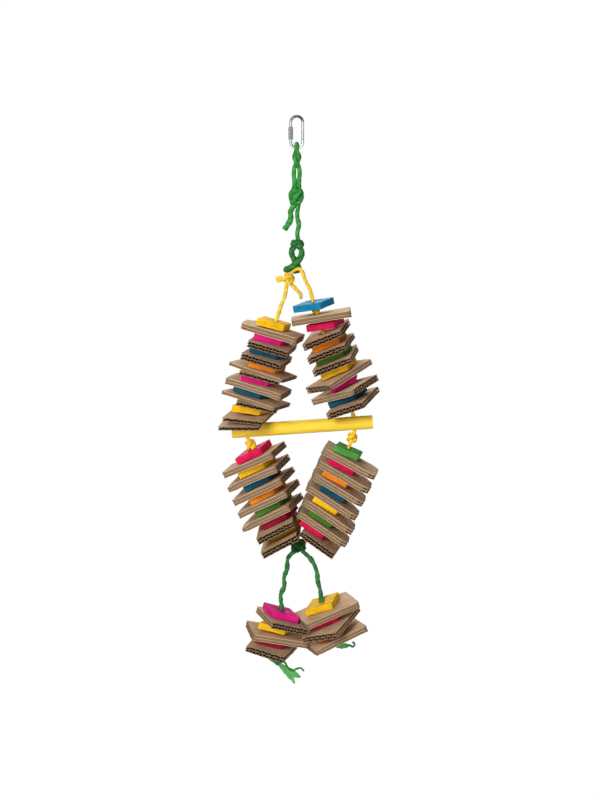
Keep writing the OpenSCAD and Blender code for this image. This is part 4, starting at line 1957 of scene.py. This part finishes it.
@dataclass
class YellowRopes:
    """Yellow rope that ties to the eye and runs round the four upper and lower stacks."""

    stacks: dict[Stack, PieceStack]
    perch: Perch
    lay: RopeLay = RopeLay(2.9 * MM, 11 * MM)
    stub_lay: RopeLay = RopeLay(4.2 * MM, 12 * MM)
    head: Sequence[Point] = (
        (-5.4, -0.5, -134),
        (-2.6, -0.4, -131.4),
        (1.6, -2, -129.4),
        (4.6, -2, -132),
        (7.4, -1, -140),
        (11, 0, -147),
    )
    foot: Sequence[Point] = (
        (-16, 0, -170),
        (-13.6, 0, -162),
        (-10.6, 0, -155),
        (-9.4, 0, -149),
        (-8.8, -0.5, -142.8),
    )
    tail: Sequence[Point] = (
        (-5.6, -0.5, -142.8),
        (-0.3, -1, -148),
        (3.4, 0, -152.4),
        (3.6, 2, -156),
    )
    stub: Sequence[Point] = ((-12.2, -0.5, -138), (-14.5, -0.7, -138.6), (-17.5, -0.5, -140))
    knot_reach: float = 2.6 * MM
    knot_lift: float = 3.6 * MM

    def route(self) -> list[Points]:
        """Follows the rope from the eye down the right, across the bottom and up the left."""
        upper_left, upper_right = self.stacks[Stack.UPPER_LEFT], self.stacks[Stack.UPPER_RIGHT]
        lower_left, lower_right = self.stacks[Stack.LOWER_LEFT], self.stacks[Stack.LOWER_RIGHT]
        knot = middle_of("bottom_knot") + np.array([0, 0, self.knot_lift])
        side = np.array([self.knot_reach, 0, 0])
        return [
            *scaled(*self.head),
            *upper_right.rope_points(),
            self.perch.hole(1, 1),
            self.perch.hole(1, -1),
            *lower_right.rope_points(),
            knot + side,
            knot - side,
            *reversed(lower_left.rope_points()),
            self.perch.hole(-1, -1),
            self.perch.hole(-1, 1),
            *reversed(upper_left.rope_points()),
            *scaled(*self.foot),
        ]

    def knot(
        self,
        name: str,
        node: str,
        centre: Points,
        axis: Sequence[float],
        width: float,
        height: float,
        lot: int,
    ) -> Knot:
        """Describes one of the small yellow knots.

        Args:
            name: Name of the piece.
            node: CAD node that it stands in for.
            centre: Its centre, in metres.
            axis: Axis that its turns go round.
            width: Its width, in millimetres.
            height: Its height, in millimetres.
            lot: Number that sets its wrinkles apart.

        Returns:
            The knot, not built yet.
        """
        return Knot(
            name=name,
            node=node,
            centre=centre,
            axis=axis,
            colour=RopeColour.YELLOW,
            lay=self.lay,
            width=width * MM,
            height=height * MM,
            turns=2,
            crossings=3,
            lot=lot,
        )

    def build(self, finishes: FinishSet) -> None:
        """Builds the long rope, its short ends and its knots."""
        yellow = RopeColour.YELLOW
        parts = [
            self.knot("eye_hitch", "yellow_knot", spot(-7.2, -0.5, -138.4), (0.5, 0.2, 1), 11.2, 9.2, 21),
            Rope("yellow_tail", "yellow_rope", scaled(*self.tail), yellow, self.lay, 22),
            Rope("yellow_stub", "yellow_rope", scaled(*self.stub), yellow, self.stub_lay, 23),
        ]
        for name, side, stack, lot in (
            ("perch_knot_left", -1, self.stacks[Stack.LOWER_LEFT], 24),
            ("perch_knot_right", 1, self.stacks[Stack.LOWER_RIGHT], 25),
        ):
            start = self.perch.hole(side, -1)
            centre = start + unit(stack.top() - start) * 7.4 * MM
            parts.append(self.knot(name, "perch_knots", centre, stack.axis(), 9.8, 8.4, lot))
        axis = self.stacks[Stack.UPPER_RIGHT].axis()
        parts.append(self.knot("stop_knot", "top_stop_knot", middle_of("top_stop_knot"), axis, 7.2, 4.6, 26))
        pieces = [part.build(finishes) for part in parts]
        rope = Rope("yellow_loop", "yellow_rope", self.route(), yellow, self.lay, 27)
        rope.build(finishes)
        LOG.info("yellow rope: one long loop, two ends and four knots")


@dataclass
class BottomRopes:
    """Green rope knotted round the yellow one, its two legs and their frayed ends."""

    stacks: dict[Stack, PieceStack]
    lay: RopeLay = RopeLay(3.3 * MM, 13 * MM, fullness=1.18, crush=1.8)
    strand_lay: RopeLay = RopeLay(1.7 * MM, 6 * MM, 0.08, 10)
    left_leg: Sequence[Point] = (
        (-2.4, 0, -4.4),
        (-9, 0, -12),
        (-10, 0, -22),
        (-12.6, 0, -30),
        (-12.4, 0, -38),
        (-15.6, 0, -46),
    )
    right_leg: Sequence[Point] = (
        (2.4, 0, -4.4),
        (12, 0, -14),
        (16.6, 0, -25),
        (17.4, 0, -33),
        (19.6, 0, -42),
    )
    left_strand: Sequence[Point] = (
        (1, 0, 1.6),
        (5, -0.5, 1.8),
        (8, -1, -3),
        (12, -1, -6),
        (16, 0, -4.4),
        (19.6, 0.5, -4),
        (22.4, 0, -6.6),
    )
    right_strand: Sequence[Point] = (
        (11, 0, -0.3),
        (13.4, 0, -0.6),
        (15.4, 0, -1.8),
        (17.2, 0, -0.8),
        (17.2, 0, 1.6),
        (15.4, 0, 2.4),
    )

    def build(self, finishes: FinishSet) -> None:
        """Builds the knot, the legs and the frayed ends."""
        centre = middle_of("bottom_knot")
        knot = Knot(
            name="bottom_knot_tied",
            node="bottom_knot",
            centre=centre,
            axis=(1, 0.1, 0.1),
            # The bottom knot takes the much darker copy of the green paper, painted shade.
            colour=RopeColour.BOTTLE_GREEN,
            lay=self.lay,
            width=12.4 * MM,
            height=13 * MM,
            turns=3,
            crossings=4,
            lot=31,
        ).build(finishes)
        left, right = self.stacks[Stack.BOTTOM_LEFT], self.stacks[Stack.BOTTOM_RIGHT]
        left_tail = left.end() + spot(6, 0, -13)
        right_tail = right.end() + spot(-1.2, 0, -5.2)
        left_route = [centre + point for point in scaled(*self.left_leg)] + left.rope_points()
        left_route += [left.end() + spot(-3, 0, -6), left_tail + spot(-3, 0, 2.5), left_tail]
        right_route = [centre + point for point in scaled(*self.right_leg)] + right.rope_points()
        right_route += [right.end() + spot(0.2, 0, -3), right_tail]
        # The legs take the darker copy of the green paper, painted shade.
        left_leg = Rope("left_leg", "bottom_rope", left_route, RopeColour.MOSS_GREEN, self.lay, 32)
        left_leg.build(finishes)
        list(self.fray_left(finishes, left_tail))
        right_leg = Rope("right_leg", "bottom_rope", right_route, RopeColour.MOSS_GREEN, self.lay, 33)
        right_leg.build(finishes)
        self.fray_right(finishes, right_tail)
        LOG.info("bottom rope: knot, two legs and frayed ends")

    def loose_strand(self, name: str, start: Points, route: Sequence[Point], lot: int) -> Rope:
        """Describes a thin strand that has come loose from a leg.

        Args:
            name: Name of the piece.
            start: Where the leg frays.
            route: Points of the strand from there, in millimetres.
            lot: Number that sets its wrinkles apart.

        Returns:
            The strand, not built yet.
        """
        line = [start + point for point in scaled(*route)]
        return Rope(name, "rope_tails", line, RopeColour.GREEN, self.strand_lay, lot)

    def fray_left(self, finishes: FinishSet, start: Points) -> list[bpy.types.Object]:
        """Builds the forked ribbon and the loose strand under the left stack."""
        low = PaperStrip(
            name="left_fray_low",
            start=start,
            turn=42,
            spine=[(-1, 0, 0), (6, 0, 0.7), (14, 0.2, 1.5), (22.6, 0, 3.6)],
            widths=(2.8, 5.4, 6.6, 1.8),
            lot=41,
        )
        high = PaperStrip(
            name="left_fray_high",
            start=start,
            turn=42,
            spine=[(-1, 0.3, 0), (7, 0.5, -0.6), (15, 0.6, -1.6), (22.8, 0.3, -4.4)],
            widths=(2.6, 5.0, 5.8, 1.4),
            lot=42,
        )
        strand = self.loose_strand("left_strand", start, self.left_strand, 43)
        return [part.build(finishes) for part in (low, high, strand)]

    def fray_right(self, finishes: FinishSet, start: Points) -> list[bpy.types.Object]:
        """Builds the small leaf and the curled strand under the right stack."""
        leaf = PaperStrip(
            name="right_fray",
            start=start,
            turn=2,
            spine=[(-1, 0, 0), (4, 0.2, -0.2), (8, 0, -0.6), (14, 0, 0)],
            widths=(2.8, 6.0, 5.8, 4.4, 1.2),
            lot=44,
        )
        strand = self.loose_strand("right_strand", start, self.right_strand, 45)
        return [part.build(finishes) for part in (leaf, strand)]


@dataclass
class Studio:
    """Camera, soft lights and a plain pale floor."""

    target: Point = (0.0028, 0.0, -0.246)
    distance: float = 1.9
    elevation: float = 12.5
    lens: float = 65.13
    floor_level: float = -1.05
    floor_reach: float = 60.0

    def build_camera(self) -> None:
        """Puts the camera at the photograph's viewing angle."""
        data = bpy.data.cameras.new("camera")
        data.sensor_fit = "VERTICAL"
        data.sensor_height = 24.0
        data.lens = self.lens
        camera = bpy.data.objects.new("camera", data)
        bpy.context.scene.collection.objects.link(camera)
        angle = math.radians(self.elevation)
        back = Vector((0.0, -math.cos(angle), math.sin(angle)))
        camera.location = Vector(self.target) + back * self.distance
        camera.rotation_euler = back.to_track_quat("Z", "Y").to_euler()
        bpy.context.scene.camera = camera

    def add_light(self, name: str, place: Point, size: float, power: float, colour: Colour) -> None:
        """Adds an area light that faces the toy.

        Args:
            name: Name of the light.
            place: Where it stands.
            size: Side of the square light.
            power: Power in watts.
            colour: Colour of its light.
        """
        data = bpy.data.lights.new(name, "AREA")
        data.size = size
        data.energy = power
        data.color = colour
        light = bpy.data.objects.new(name, data)
        bpy.context.scene.collection.objects.link(light)
        light.location = place
        light.rotation_euler = (Vector(place) - Vector(self.target)).to_track_quat("Z", "Y").to_euler()

    def build_room(self) -> None:
        """Adds the floor, the pale surroundings and the lights."""
        reach, level = self.floor_reach, self.floor_level
        mesh = bpy.data.meshes.new("floor")
        corners = [(x * reach, y * reach, level) for x, y in ((-1, -1), (1, -1), (1, 1), (-1, 1))]
        mesh.from_pydata(corners, [], [(0, 1, 2, 3)])
        mesh.materials.append(FloorFinish().build())
        floor = bpy.data.objects.new("floor", mesh)
        bpy.context.scene.collection.objects.link(floor)
        world = bpy.data.worlds.new("studio")
        world.use_nodes = True
        background = world.node_tree.nodes["Background"]
        graph = Graph(world.node_tree)
        height = graph.part(graph.add("TexCoord").outputs["Generated"], "Z")
        room = graph.spread(height, 0.0, 0.6, 0.26, 0.08)
        seen = graph.add("LightPath").outputs["Is Camera Ray"]
        graph.feed(background.inputs["Color"], (1.0, 1.0, 1.0, 1.0))
        graph.feed(background.inputs["Strength"], graph.math("MAXIMUM", room, seen))
        bpy.context.scene.world = world
        self.add_light("key", (-0.9, -1.9, 0.7), 1.0, 44.0, (1.0, 0.99, 0.97))
        self.add_light("fill", (0.2, -2.1, -0.5), 1.2, 13.0, (0.98, 0.99, 1.0))
        self.add_light("top", (0.1, 0.3, 1.6), 1.0, 17.0, (1.0, 1.0, 1.0))
        self.add_light("back", (-0.5, 1.9, 0.6), 1.4, 24.0, (1.0, 1.0, 1.0))
        bpy.context.scene.view_settings.view_transform = "Standard"


def main() -> None:
    """Builds the scene in order."""
    logging.basicConfig(level=logging.INFO, format="%(message)s")
    for leftover in list(bpy.data.objects):
        bpy.data.objects.remove(leftover)
    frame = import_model()
    studio = Studio()
    studio.build_camera()
    finishes = FinishSet.build()
    stacks = {stack: PieceStack(stack, frame, number) for number, stack in enumerate(Stack)}
    perch = Perch()
    HangerRopes().build(finishes)
    YellowRopes(stacks, perch).build(finishes)
    BottomRopes(stacks).build(finishes)
    QuickLink().build(frame, finishes)
    perch.build(frame, finishes)
    for stack in stacks.values():
        stack.build(finishes)
    studio.build_room()


if __name__ == "__main__":
    main()
